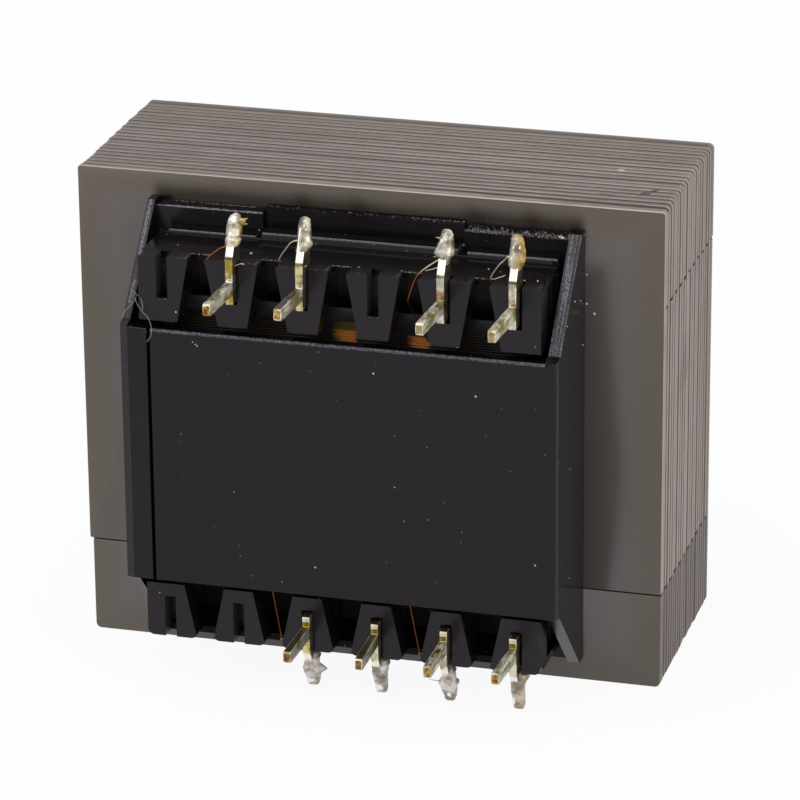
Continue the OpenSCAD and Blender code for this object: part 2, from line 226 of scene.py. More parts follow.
# The view: how far round and above the front it is, and how much the camera leans.
view_round, view_above, view_lean = (math.radians(a) for a in (15.775, 21.229, -0.510))
view_distance = 331.695 * mm
core_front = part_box("front_e_plate")[0].y
aim = Vector((2.235 * mm, core_front, 19.848 * mm))
back = Vector((math.sin(view_round) * math.cos(view_above), -math.cos(view_round) * math.cos(view_above),
               math.sin(view_above)))
camera = in_scene("camera", bpy.data.cameras.new("camera"))
camera.location = aim + back * view_distance
camera.rotation_mode = "QUATERNION"
camera.rotation_quaternion = Quaternion(back, view_lean) @ (-back).to_track_quat("-Z", "Y")
camera.data.sensor_width = 36
camera.data.lens = 214.155
camera.data.clip_start = 0.01
scene.camera = camera

# ---- Core: E and I plates ----
# Twenty-two layers of silicon steel, each an E plate closed by an I plate, with every other layer
# turned over. The plates are stamped, so a cut edge has a bright land at one side, also a painted
# highlight, and a darker torn land at the other, also painted shade between the sheets. The stack is dipped
# in a thin brown varnish.

face_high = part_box("front_e_plate")[1]
sheet_t = face_high.y - core_front
layer_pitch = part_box("e_plates_joint_high")[0].y - core_front
stack_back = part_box("back_e_plate")[1].y
layer_count = round((stack_back - core_front - sheet_t) / layer_pitch) + 1
leg_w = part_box("front_i_plate")[1].z
core_half_w, core_h = face_high.x, face_high.z
# The painted shade on the face goes round the barrier's top and ends at the cover's thick wall.
barrier_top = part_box("coil_former")[1].z
thick_wall_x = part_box("front_cover_plate")[1].x
corner_r = 0.4 * mm
joint_r = 0.14 * mm
joint_gap = 0.08 * mm
# Across a cut edge, in millimetres: how far behind the sheet's front, and how far in from the outline.
edge_profile = [(0.0, 0.03), (0.015, 0.01), (0.04, 0.0), (0.26, 0.0), (0.45, 0.01), (0.56, 0.03),
                (0.62, 0.05), (0.65, 0.09)]
edge_depth = edge_profile[-1][0]

Axes = namedtuple("Axes", "x y z")


def axes_of(tree, kind, output):
    """The three parts of what a source gives."""
    parts = add(tree, "SeparateXYZ", {"Vector": add(tree, kind).outputs[output]})
    return Axes(*(Worked(part) for part in parts.outputs))


def place_of(tree):
    """Where a point lies in the object's own coordinates."""
    return axes_of(tree, "TexCoord", "Object")


def facing_of(tree):
    """Which way the surface faces."""
    return axes_of(tree, "NewGeometry", "Normal")


def least(first, *others):
    """The smallest of some numbers."""
    for other in others:
        first = maths("MINIMUM", first, other)
    return first


def smooth_steps(value, low, high):
    """0 below low, 1 above high, and a soft change between them."""
    return ranged(value, 0.0, 1.0, low, high, "SMOOTHSTEP")


def mixed(share, a, b, blend="MIX"):
    """Colour a turning to colour b as share goes from 0 to 1."""
    tree = next(value.tree for value in (share, a, b) if isinstance(value, Worked))
    return Worked(add(tree, "Mix", {0: share, 6: a, 7: b}, data_type="RGBA", blend_type=blend).outputs[2])


def banded(value, *bands):
    """Colours that follow each other as the value grows; each band is a value and a paint code."""
    node = add(value.tree, "ValToRGB", {"Fac": value})
    stops = node.color_ramp.elements
    for stop, (at, code) in zip(list(stops), (bands[0], bands[-1])):
        stop.position = at
        stop.color = tint(code)
    for at, code in bands[1:-1]:
        stops.new(at).color = tint(code)
    return Worked(node.outputs[0])


def cloudy(tree, scale, detail=3.0, stretch=None, roughness=0.55):
    """Noise in the object's own coordinates; stretch squeezes it along X, Y and Z."""
    where = add(tree, "TexCoord").outputs["Object"]
    if stretch:
        where = add(tree, "Mapping", {"Vector": where, "Scale": stretch}).outputs[0]
    links = {"Vector": where, "Scale": scale, "Detail": detail, "Roughness": roughness}
    return Worked(add(tree, "TexNoise", links).outputs[0])


def mark(tree, name):
    """A value that the mesh carries."""
    return Worked(add(tree, "Attribute", attribute_name=name).outputs["Fac"])


def raised(height, distance, strength):
    """A normal from a height between 0 and 1, worth distance at 1."""
    links = {"Height": height, "Distance": distance, "Strength": strength}
    return add(height.tree, "Bump", links).outputs[0]


def new_group(name, inputs):
    """A node group that works out one number; returns it, its inputs and the socket for the number."""
    made = bpy.data.node_groups.new(name, "ShaderNodeTree")
    for title, value in inputs.items():
        made.interface.new_socket(title, in_out="INPUT", socket_type="NodeSocketFloat").default_value = value
    made.interface.new_socket("Number", in_out="OUTPUT", socket_type="NodeSocketFloat")
    entry = made.nodes.new("NodeGroupInput")
    given = {title: Worked(entry.outputs[title]) for title in inputs}
    return made, given, made.nodes.new("NodeGroupOutput").inputs[0]


def placed(tree, made, **values):
    """The number from a node group placed in a material with its own values."""
    node = tree.nodes.new("ShaderNodeGroup")
    node.node_tree = made
    for key, value in values.items():
        put(node.inputs[key], value)
    return Worked(node.outputs[0])


# Dust: cells with a speck in some of them, each of its own size.
dust, given, result = new_group("dust", {"Scale": 900.0, "Share": 0.1, "Size": 0.1})
cells = add(dust, "TexVoronoi", {"Vector": add(dust, "TexCoord").outputs["Object"], "Scale": given["Scale"]})
lots = add(dust, "SeparateColor", {"Color": cells.outputs["Color"]})
size_lot, share_lot = Worked(lots.outputs["Red"]), Worked(lots.outputs["Green"])
speck_size = given["Size"] * size_lot ** 2.0
from_middle = Worked(cells.outputs["Distance"]) + cloudy(dust, 9000.0, 2.0) * 0.08
inside = from_middle - 0.04 < speck_size
put(result, inside * (share_lot < given["Share"]))

# Varnish on the two sheets that show their faces: brown-grey, yellower towards the rim.
varnished_face, tree, shader = finish_of("varnished_face")
place = place_of(tree)
from_side = core_half_w - abs(place.x)
from_top = core_h - place.z
from_rim = least(from_side, from_top, place.z)
wander = (cloudy(tree, 200.0) - 0.5) * (1.4 * mm)
rim_tint = 1.0 - smooth_steps(from_rim + wander, 0.7 * mm, 3.2 * mm)
colour = mixed(cloudy(tree, 90.0, 4.0), "564d4b", "5c5351")
colour = mixed(rim_tint, colour, "51463a")
# Painted shade and reflection of the black cover round the end of the barrier: the face is painted dark there
# and made more metallic.
height = place.z + wander * 0.4 - (barrier_top - 0.2 * mm)
painted_shade = 1.0 - smooth_steps(height, 0.3 * mm, 1.6 * mm)
painted_shade *= smooth_steps(height, -3.0 * mm, 0.0)
painted_shade *= 1.0 - smooth_steps(abs(place.x), thick_wall_x - 0.55 * mm, thick_wall_x + 0.35 * mm)
colour = mixed(painted_shade * 0.9, colour, "241d18")
pits = placed(tree, dust, Scale=420.0, Share=0.6, Size=0.11)
colour = mixed(pits * 0.6, colour, "1c1816")
flecks = placed(tree, dust, Scale=700.0, Share=0.12, Size=0.09)
colour = mixed(flecks * 0.5, colour, "a8a098")
feed(shader, Base_Color=colour, Specular_IOR_Level=0.68, Metallic=painted_shade * 0.75,
     Roughness=ranged(cloudy(tree, 600.0), 0.2, 0.28),
     Normal=raised(cloudy(tree, 160.0, 2.0), 0.01 * mm, 0.3))


def on_top(place):
    """1 on the top of the stack, and 0 below it."""
    return place.z > core_h - 0.3 * mm


def spot(place, x, behind, half_x, half_y, slant=0.0):
    """1 inside a soft-edged oval on the top of the stack, and 0 outside: how far to the right and
    behind the face it is and its half widths, in millimetres, and how it slants."""
    u = place.x - x * mm
    v = place.y - (core_front + behind * mm) - u * slant
    size = add(u.tree, "CombineXYZ", {"X": u / (half_x * mm), "Y": v / (half_y * mm)})
    far = Worked(add(u.tree, "VectorMath", {0: size.outputs[0]}, operation="LENGTH").outputs["Value"])
    rough = far + (cloudy(u.tree, 2600.0, 3.0) - 0.5) * 1.3
    return (1.0 - smooth_steps(rough, 0.75, 1.05)) * on_top(place)


# Cut edges: a bright front edge, then land, then the torn side, with the whole sheet's own tone; the bright
# front is partly a painted highlight and the dark back partly painted shade in the gaps between sheets.
cut_edge, tree, shader = finish_of("cut_edge")
across, tone = mark(tree, "across"), mark(tree, "tone")
place = place_of(tree)
wander = (cloudy(tree, 420.0, 4.0) - 0.5) * 0.3
lands_and_painted_light = banded(across + wander, (0.0, "a3958f"), (0.16, "92837e"), (0.34, "71645f"), (0.6, "615553"),
               (0.8, "514645"), (1.0, "4d4343"))
streaks = ranged(cloudy(tree, 300.0, 5.0, (1.0, 6.0, 1.0)), 0.86, 1.1, 0.3, 0.7)
level = (tone * 0.4 + 0.8) * streaks
greys = add(tree, "CombineColor", {i: level for i in range(3)})
colour = mixed(1.0, lands_and_painted_light, greys.outputs[0], "MULTIPLY")
# On the stack's sides the sheets are darker below the joint; above it the side is painted lighter, a painted
# highlight on the E legs' edges.
side = abs(place.x) > core_half_w - 0.35 * mm
low_side = (1.0 - smooth_steps(place.z, leg_w - 0.1 * mm, leg_w + 0.2 * mm)) * side
colour = mixed(low_side * 0.65, colour, "5a4e4b")
colour = mixed((side - low_side) * 0.46, colour, "a1958f")
# Painted highlight: a cream line along the top front edge of the front E sheet, the only sheet whose tone is
# above 1.2.
rim = (tone > 1.2) * (1.0 - smooth_steps(across, 0.12, 0.3)) * on_top(place)
colour = mixed(rim * 0.8, colour, "d2c2aa")
# The stack's top is darker, more so towards the left.
top_darkening = on_top(place) * (0.1 + smooth_steps(place.x, 10.0 * mm, -18.0 * mm) * 0.2)
colour = mixed(top_darkening, colour, "453b36")
# Grime in clouds, olive varnish towards the back, two smudges and a drop of varnish.
grime = smooth_steps(cloudy(tree, 130.0, 5.0), 0.52, 0.72) * 0.45
colour = mixed(grime, colour, "5d544c")
olive = smooth_steps(place.y, 1.5 * mm, 6.5 * mm) * 0.35
colour = mixed(olive, colour, "6a6254")
smudge = most(spot(place, 18.9, 3.9, 0.66, 0.5, 1.15), spot(place, 16.5, 2.7, 0.75, 0.3, -0.3) * 0.5)
colour = mixed(smudge * 0.85, colour, "2a2124")
colour = mixed(spot(place, 16.0, 8.2, 0.3, 0.35) * 0.7, colour, "c5b78e")
# Painted shade: the joint's faces, inside the core, are painted dark, where the gap between E and I sheets
# lies in shade.
within = abs(place.z - core_h / 2) < core_h / 2 - 0.6 * mm
joint_face = smooth_steps(abs(facing_of(tree).z), 0.35, 0.75) * within
colour = mixed(joint_face, colour, "1f1512")
feed(shader, Base_Color=colour, Specular_IOR_Level=0.3, Roughness=ranged(cloudy(tree, 900.0), 0.36, 0.58),
     Normal=raised(cloudy(tree, 4000.0, 3.0, (1.0, 0.3, 1.0)), 0.012 * mm, 0.5))


def carry(mesh, marks):
    """Writes marks on a mesh: each has a name and a value for every point."""
    for title, values in marks.items():
        mesh.attributes.new(title, "FLOAT", "POINT").data.foreach_set("value", values)


def piece(name, points, faces, finishes, picks=None, marks=None, smooth=None):
    """A new object from points and faces; picks gives each face its finish, marks give each point
    its values, and smooth is the widest angle that is shaded round."""
    mesh = bpy.data.meshes.new(name)
    mesh.from_pydata([tuple(p) for p in points], [], faces)
    carry(mesh, marks or {})
    for made in finishes:
        mesh.materials.append(made)
    if picks:
        mesh.polygons.foreach_set("material_index", picks)
    if smooth:
        mesh.shade_smooth()
        mesh.set_sharp_from_angle(angle=math.radians(smooth))
    return in_scene(name, mesh)


def fitted(made, slot, *nodes):
    """The piece rides on the part and stands for its CAD nodes, which are hidden."""
    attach(made, "root")
    if nodes:
        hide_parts(*nodes)
    return made


def arc(x, z, r, start, steps=6):
    """A quarter turn of an outline's corner, anticlockwise from start degrees."""
    return [(x + r * math.cos(math.radians(start + 90 * i / steps)),
             z + r * math.sin(math.radians(start + 90 * i / steps))) for i in range(steps + 1)]


def e_outline(w, h, cr=corner_r):
    """An E plate that stands on its three feet at leg_w, anticlockwise."""
    feet, jr = leg_w + joint_gap / 2, joint_r
    inner = [(-2 * leg_w, feet), (-2 * leg_w, h - leg_w), (-leg_w, h - leg_w), (-leg_w, feet),
             (leg_w, feet), (leg_w, h - leg_w), (2 * leg_w, h - leg_w), (2 * leg_w, feet)]
    return (arc(-w + jr, feet + jr, jr, 180) + inner + arc(w - jr, feet + jr, jr, 270)
            + arc(w - cr, h - cr, cr, 0) + arc(-w + cr, h - cr, cr, 90))


def i_outline(w):
    """An I plate that lies below the joint, anticlockwise."""
    top, cr, jr = leg_w - joint_gap / 2, corner_r, joint_r
    return (arc(-w + cr, cr, cr, 180) + arc(w - cr, cr, cr, 270)
            + arc(w - jr, top - jr, jr, 0) + arc(-w + jr, top - jr, jr, 90))


def inset(outline, by):
    """The outline moved inwards all round."""
    moved = []
    for i, (x, z) in enumerate(outline):
        (ax, az), (bx, bz) = outline[i - 1], outline[(i + 1) % len(outline)]
        u, v = Vector((x - ax, z - az)).normalized(), Vector((bx - x, bz - z)).normalized()
        n, m = Vector((-u.y, u.x)), Vector((-v.y, v.x))
        step = (n + m) * (by / max(0.3, 1 + n.dot(m)))
        moved.append((x + step.x, z + step.y))
    return moved


def sheets(name, outlines, burr_behind=False):
    """Stamped sheets as one piece: each outline comes with its front and its tone."""
    profile = edge_profile
    if burr_behind:
        profile = [(edge_depth - depth, by) for depth, by in reversed(edge_profile)]
    points, faces, picks, across, tones = [], [], [], [], []
    for outline, front, tone in outlines:
        start, count = len(points), len(outline)
        for depth, by in profile:
            points += [(x, front + depth * mm, z) for x, z in inset(outline, by * mm)]
            across += [(edge_depth - depth if burr_behind else depth) / edge_depth] * count
            tones += [tone] * count
        for j in range(len(profile) - 1):
            a = start + j * count
            faces += [(a + i, a + count + i, a + count + (i + 1) % count, a + (i + 1) % count)
                      for i in range(count)]
        picks += [1] * (count * (len(profile) - 1)) + [0, 0]
        end = start + (len(profile) - 1) * count
        faces += [tuple(range(start, start + count)), tuple(reversed(range(end, end + count)))]
    return piece(name, points, faces, [varnished_face, cut_edge], picks,
                 {"across": across, "tone": tones}, 40)


# Each sheet sits a few hundredths off its neighbours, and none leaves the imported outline.
hands = random.Random(22)
play = 0.03 * mm


def turned_over(outline):
    """The outline upside down, still anticlockwise."""
    return [(x, core_h - z) for x, z in reversed(outline)]


def nudged(outline, dx, dz, lean=0.0):
    """The outline moved, and lowered to the right by lean, but kept inside the core's outline."""
    return [(max(-core_half_w, min(core_half_w, x + dx)),
             max(0.0, min(core_h, z + dz - lean * (0.5 + x / (2 * core_half_w))))) for x, z in outline]


stack = {f"{kind}_plates_joint_{joint}": [] for joint in ("low", "high") for kind in "ei"}
# How far the right ends of the sheets behind the first have sunk; the last ones sit low.
sunk = {1: 0.16 * mm, 2: 0.04 * mm}
for k in range(1, layer_count - 1):
    y = core_front + k * layer_pitch
    tone = min(1.0, max(0.0, hands.gauss(0.5, 0.25)))
    half = core_half_w - play / 2
    e = e_outline(half, core_h - play / 2)
    i = i_outline(half)
    joint = "low" if k % 2 == 0 else "high"
    if joint == "high":
        e, i = turned_over(e), turned_over(i)
    dx, dz, lean = hands.uniform(-play, play), hands.uniform(-play, play), sunk.get(k, 0.0)
    if k >= layer_count - 3:
        dz = -play
    stack[f"e_plates_joint_{joint}"].append((nudged(e, dx, dz, lean), y, tone))
    dx = hands.uniform(-play, play)
    stack[f"i_plates_joint_{joint}"].append((nudged(i, dx, dz, lean), y, tone))
for node, outlines in stack.items():
    fitted(sheets(node.replace("plates", "sheets"), outlines), "core_stack", node)

# The front E has sharper corners, and the front I ends a little short of it at the left.
short = 0.12 * mm
front_e = e_outline(core_half_w, core_h, 0.22 * mm)
front_i = nudged(i_outline(core_half_w - short), short, 0.0)
back_e = turned_over(e_outline(core_half_w - play, core_h))
back_i = nudged(turned_over(i_outline(core_half_w)), 0.0, -0.04 * mm)
end_sheets = (("front_e", front_e, core_front, 1.5), ("front_i", front_i, core_front, 1.0),
              ("back_e", back_e, stack_back - sheet_t, 0.6), ("back_i", back_i, stack_back - sheet_t, 0.5))
for end, outline, front, tone in end_sheets:
    sheet = sheets(f"{end}_sheet", [(outline, front, tone)], end.startswith("back"))
    fitted(sheet, "core_face", f"{end}_plate")

# ---- Coil former ----
# One black nylon moulding: the tube, the flanges, the two terminal rails with their wedge-shaped
# posts, and the thin barriers before the yokes. Its edges are soft, with a little scuffing and
# white dust from handling, and some edges are painted light as highlights.

def span(value, low, high):
    """1 between low and high, and 0 outside."""
    return (value > low) * (value < high)


# The scuffs and painted highlights follow the cover's thin wall and how far the cover stands out.
thin_wall_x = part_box("front_cover_lip")[0].x
cover_out = core_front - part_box("front_cover_plate")[0].y

# Scuffs and painted highlights: rounded and slanting faces are painted light, partly as rubbing and partly as
# the highlights such edges catch, more where they face up, each way of facing by its own share.
scuffs_and_highlights, given, result = new_group("scuffs_and_highlights", {"Upwards": 1.0, "Downwards": 0.2, "Corners": 0.0})
normal = facing_of(scuffs_and_highlights)
widest = most(*(abs(part) for part in normal))
turned = smooth_steps(1.0 - widest, 0.02, 0.16)
looks_up = smooth_steps(normal.z, 0.1, 0.5)
looks_down = smooth_steps(-normal.z, 0.1, 0.5)
corner = smooth_steps(-(normal.x * normal.y), 0.12, 0.35)
share = looks_up * given["Upwards"] + looks_down * given["Downwards"]
share = most(share, corner * given["Corners"])
lines = ranged(cloudy(scuffs_and_highlights, 5600.0, 2.0, (1.0, 0.025, 0.025)), 0.2, 1.0, 0.42, 0.56)
pits = ranged(cloudy(scuffs_and_highlights, 12000.0, 3.0, (1.0, 0.5, 0.5)), 0.12, 1.1, 0.38, 0.6)
# The thin wall's slanting end is painted light only along its middle, and there only in places, partly as
# rubbing and partly as a painted highlight.
place = place_of(scuffs_and_highlights)
by_thin_wall = place.x < thin_wall_x + 0.75 * mm
missed = most(span(place.z, 29.0 * mm, 30.4 * mm), place.z < 27.7 * mm)
strip = smooth_steps(place.x, thin_wall_x + 0.11 * mm, thin_wall_x + 0.19 * mm)
strip -= smooth_steps(place.x, thin_wall_x + 0.33 * mm, thin_wall_x + 0.41 * mm)
strip = (strip * 0.85 + 0.15) * (1.0 - missed * 0.8)
lines = Worked(add(scuffs_and_highlights, "Mix", {0: by_thin_wall, 2: lines, 3: strip}).outputs[0])
# Two dark grooves run down the thick wall's slanting end.
waver = place.x + cloudy(scuffs_and_highlights, 450.0, 3.0) * (0.16 * mm)
grooves = most(*(span(waver, thick_wall_x - far * mm, thick_wall_x - near * mm)
                 for far, near in ((0.65, 0.59), (0.16, 0.06))))
low_end = smooth_steps(place.z, 26.8 * mm, 30.0 * mm)
pits *= 1.0 - grooves * 0.8
pits *= low_end * 0.25 + 0.8
share = turned * share * (lines * pits)
# The plate's upper rim is painted light in grains, where the mesh marks it, partly as rubbing and partly as a
# painted highlight.
grains = ranged(cloudy(scuffs_and_highlights, 6500.0, 4.0, (0.6, 1.0, 1.0), 0.7), 0.12, 1.0, 0.4, 0.6)
low_part = 1.0 - smooth_steps(normal.z, 0.5, 0.75)
on_plate = place.y < core_front - cover_out + 0.7 * mm
kept = most(low_part, 1.0 - on_plate)
from_wall = most(smooth_steps(place.x, thin_wall_x + 0.85 * mm, thin_wall_x + 1.65 * mm), place.z < 32.0 * mm)
brow_scuff_and_highlight = mark(scuffs_and_highlights, "brow_scuff_and_highlight") * grains * kept * from_wall
put(result, most(share, brow_scuff_and_highlight))

plastic_black = "191719"
post_pitch = 5 * mm


def black_nylon(name, scuff_and_highlight_tint, rubbed_and_lit, dust_share, gloss, hollow_painted_light=plastic_black):
    """Black moulded plastic: its colour for scuffs and painted highlights and their three amounts, its
    dust, its gloss, and its colour in the hollows of the rail, painted lighter there as painted light."""
    made, tree, shader = finish_of(name)
    upwards, downwards, corners = rubbed_and_lit
    place = place_of(tree)
    before = core_front - place.y
    normal = facing_of(tree)
    flat_top = smooth_steps(normal.z, 0.9, 0.98)
    ahead = normal.y < -0.9
    # The rail's hollow, its posts' slots and its thin skin lie at their own distances before the core. The
    # hollow and the slots are painted lighter, as painted light that reaches in; the skin's front face
    # between the posts is painted shade, dark and more metallic.
    from_post = maths("PINGPONG", place.x + 2.5 * post_pitch, post_pitch / 2)
    in_slot = (from_post < 0.5 * mm) * span(before, 5.4 * mm, 7.4 * mm)
    within = (abs(place.x) < 13.75 * mm) * most(span(before, 0.7 * mm, 5.5 * mm), in_slot)
    shadowed = span(before, 6.2 * mm, 6.4 * mm) * ahead
    colour = mixed(cloudy(tree, 220.0, 3.0), plastic_black, "121112")
    colour = mixed(within, colour, hollow_painted_light)
    colour = mixed(shadowed, colour, "0c0b0c")
    # Painted shade: flat tops are painted darker, standing in for the dark parts they reflect.
    colour = mixed(flat_top, colour, "0b0a0b")
    scuffed_and_lit = placed(tree, scuffs_and_highlights, Upwards=upwards, Downwards=downwards, Corners=corners)
    colour = mixed(scuffed_and_lit, colour, scuff_and_highlight_tint)
    specks = placed(tree, dust, Scale=700.0, Share=dust_share, Size=0.072)
    fine = placed(tree, dust, Scale=1700.0, Share=dust_share, Size=0.1)
    white = most(specks, fine * 0.4)
    colour = mixed(white, colour, "b9b5b0")
    rough = ranged(cloudy(tree, 1200.0, 4.0), 0.16, 0.3)
    rough = most(rough - flat_top * 0.1, most(scuffed_and_lit, white) * 0.6)
    lay = cloudy(tree, 900.0, 4.0, (0.5, 1.0, 2.5))
    feed(shader, Base_Color=colour, Roughness=rough, Specular_IOR_Level=gloss, Specular_Tint="f9eef9",
         Metallic=shadowed * 0.8, Normal=raised(lay, 0.012 * mm, 0.4))
    return made


sharp_angle = math.radians(28)


def softened(name, source, finish, width, wide=(), warp=None):
    """A copy of a solid's mesh with its sharp edges eased by width. Each of wide is a test of an
    edge's ends, and the width, steps and share of scuffing and painted highlight of the edges that pass it;
    warp moves the points."""
    bm = bmesh.new()
    bm.from_mesh(source)
    bmesh.ops.remove_doubles(bm, verts=bm.verts, dist=0.001 * mm)
    bmesh.ops.dissolve_limit(bm, angle_limit=math.radians(1.5), verts=bm.verts, edges=bm.edges)
    if warp:
        for vert in bm.verts:
            vert.co = warp(vert.co.copy())
    for face in bm.faces:
        face.smooth = False
    brow_scuff_and_highlight = bm.faces.layers.float.new("brow_scuff_and_highlight")
    for test, size, turns, rubbed_and_lit in [*wide, (None, width, 2, 0.0)]:
        sharp = [e for e in bm.edges if len(e.link_faces) == 2 and e.calc_face_angle() > sharp_angle
                 and (test is None or test(e.verts[0].co, e.verts[1].co))]
        cut = bmesh.ops.bevel(bm, geom=sharp, offset=size, segments=turns, profile=0.5, affect="EDGES",
                              clamp_overlap=True)
        for face in cut["faces"]:
            face[brow_scuff_and_highlight] = rubbed_and_lit
            face.smooth = True
    mesh = bpy.data.meshes.new(name)
    bm.to_mesh(mesh)
    bm.free()
    mesh.materials.append(finish)
    return in_scene(name, mesh)


def packed(node):
    """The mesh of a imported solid."""
    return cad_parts[node].data


# The rail's outer end, from the ends of the terminals, and how far its posts stand out.
rail_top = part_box("pin_1")[1].z - 2.75 * mm
post_out = 7.5 * mm
former_black = black_nylon("former_black", "7c7c82", (0.05, 0.03, 0.1), 0.5, 0.31, "3a373a")


def level_edge(z, before, shortest=0.0, longest=1.0):
    """A test for an edge along X at a height, at a distance before the core, and of some length."""
    def passes(a, b):
        return (all(abs(p.z - z) < 0.02 * mm for p in (a, b)) and abs(a.y - b.y) < 0.02 * mm
                and abs(core_front - a.y - before) < 0.03 * mm and shortest < abs(a.x - b.x) < longest)
    return passes


def upright_edge(x, before):
    """A test for an upright edge at a place across and before the core."""
    def passes(a, b):
        return all(abs(p.x - x) < 0.03 * mm and abs(core_front - p.y - before) < 0.03 * mm for p in (a, b))
    return passes


# Edges painted light, partly scuffed and partly as painted highlights: the slots' ends and the right post's
# outer edge.
slot_foot = rail_top - 3.05 * mm
rubbed_and_lit_edges = [(level_edge(slot_foot, post_out, longest=1.2 * mm), 0.05 * mm, 4, 0.9),
                (upright_edge(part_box("coil_former")[1].x, post_out), 0.08 * mm, 4, 0.3)]
former = softened("former", packed("coil_former"), former_black, 0.05 * mm, rubbed_and_lit_edges)
fitted(former, "black_plastic", "coil_former")

# The rail's back wall ends in a low ridge in three lengths, the middle one higher; each ridge's front top
# edge is painted light as a highlight line.
rail_ridges = ((-13.6, -7.3, 0.19), (-6.85, 7.1, 0.48), (7.75, 14.1, 0.34))
for number, (left, right, rise) in enumerate(rail_ridges, 1):
    top = rail_top + rise * mm
    spans = [(left * mm, right * mm), (core_front - 2.45 * mm, core_front - 1.25 * mm),
             (rail_top + 0.02 * mm, top)]
    ridge = bpy.data.meshes.new("rail_ridge")
    ridge.from_pydata([(x, y, z) for x in spans[0] for y in spans[1] for z in spans[2]], [],
                      [(0, 1, 3, 2), (4, 6, 7, 5), (0, 4, 5, 1), (2, 3, 7, 6), (0, 2, 6, 4), (1, 5, 7, 3)])
    ridge_edges = [(level_edge(top, 2.45 * mm, shortest=4 * mm), min(0.13, rise * 0.6) * mm, 4, 0.46)]
    fitted(softened(f"rail_ridge_{number}", ridge, former_black, 0.04 * mm, ridge_edges), "black_plastic")

# ---- Windings and tape ----
# Two coils of enamelled copper wire, wound turn beside turn in the former's two chambers, with a
# band of yellow polyester tape round the middle, coloured dark brown as painted shade. Most of the copper is
# painted dark as painted shade.

wire_pitch = 0.19 * mm
wire_bulge = 0.08 * mm
tape_t = 0.15 * mm
tape_inset = 0.25 * mm

copper, tree, shader = finish_of("enamelled_copper")
place = place_of(tree)
x = place.x + (cloudy(tree, 700.0, 3.0, (1.0, 1.0, 2.5)) - 0.5) * (1.4 * mm)
# Painted shade: the coil is painted dark where the posts shade it, and left bright copper in two places near
# the front's middle where light falls through the gaps.
left_lit = smooth_steps(x, -1.4 * mm, -0.4 * mm) * (1.0 - smooth_steps(x, 0.3 * mm, 0.6 * mm))
right_lit = smooth_steps(x, 3.8 * mm, 4.7 * mm) * (1.0 - smooth_steps(x, 5.3 * mm, 5.6 * mm))
low_part = (1.0 - smooth_steps(place.z, 26.35 * mm, 26.5 * mm)) * (place.y < core_front)
coil_painted_shade = mixed(cloudy(tree, 300.0, 3.0), "1c1511", "33281f")
colour = mixed(left_lit, coil_painted_shade, "6e5c20")
wires = mixed(cloudy(tree, 900.0, 3.0, (0.3, 0.3, 3.0)), "e8782a", "ffb468")
colour = mixed(most(left_lit, right_lit) * low_part, colour, wires)
feed(shader, Base_Color=colour, Metallic=0.05, Roughness=ranged(cloudy(tree, 900.0), 0.35, 0.55),
     Specular_IOR_Level=0.3)


def round_corners(half_x, half_y, r):
    """A closed plan with rounded corners, anticlockwise as seen from above."""
    plan = []
    for start, sx, sy in ((0, 1, 1), (90, -1, 1), (180, -1, -1), (270, 1, -1)):
        plan += arc(sx * (half_x - r), sy * (half_y - r), r, start, 8)
    return plan


def wound(name, high, r, profile, finish):
    """A ring round the coil: profile gives points of its section as depth in and height."""
    rings = []
    for depth, z in profile:
        fit = max(r - depth, 0.01 * mm)
        rings.append([(x, y, z) for x, y in round_corners(high.x - depth, high.y - depth, fit)])
    count = len(rings[0])
    points = [p for ring in rings for p in ring]
    faces = []
    for j in range(len(rings)):
        a, b = j * count, (j + 1) % len(rings) * count
        faces += [(a + i, a + (i + 1) % count, b + (i + 1) % count, b + i) for i in range(count)]
    return piece(name, points, faces, [finish], smooth=60)


# How deep the winding is: out from the tube, whose wall stands 1.15 mm off the leg.
winding_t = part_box("upper_winding")[1].x - (leg_w + 1.15 * mm)
for node in ("upper_winding", "lower_winding"):
    low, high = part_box(node)
    section = []
    turns = int((high.z - low.z) / wire_pitch)
    step = (high.z - low.z) / turns
    for i in range(turns):
        for part in range(4):
            swell = math.sin(math.pi * part / 4)
            section.append(((1 - swell) * wire_bulge, low.z + (i + part / 4) * step))
    section += [(wire_bulge, high.z), (winding_t, high.z), (winding_t, low.z)]
    coil = wound(node.replace("winding", "turns"), high, winding_t / 2, section, copper)
    fitted(coil, "copper_winding", node)

# Painted shade: the tape is coloured dark brown, standing in for the shade it lies in.
tape_in_painted_shade, tree, shader = finish_of("tape_in_painted_shade")
weave = cloudy(tree, 500.0, 4.0, (1.0, 1.0, 0.2))
feed(shader, Base_Color=mixed(weave, "2a2010", "4a3c1c"), Roughness=0.45, Specular_IOR_Level=0.2,
     Normal=raised(weave, 0.03 * mm, 0.6))
low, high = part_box("coil_tape")
low.z, high.z = low.z + tape_inset, high.z - tape_inset
section = [(0.01 * mm, low.z), (0.0, low.z + 0.05 * mm)]
section += [((0.5 + 0.5 * math.sin(i * 2.3)) * 0.02 * mm, low.z + (high.z - low.z) * i / 20)
            for i in range(1, 20)]
section += [(0.0, high.z - 0.05 * mm), (0.01 * mm, high.z), (tape_t, high.z), (tape_t, low.z)]
band = wound("tape_band", high, winding_t / 2 + tape_t, section, tape_in_painted_shade)
fitted(band, "coil_tape", "coil_tape")

# ---- Covers ----
# A thin black cover guards the coil at the front and another at the back. Each is two mouldings:
# one with the flat plate and a thick wall, one with the narrow lip and a thin wall. Their edges
# are painted light grey, partly as scuffs and partly as painted highlights.

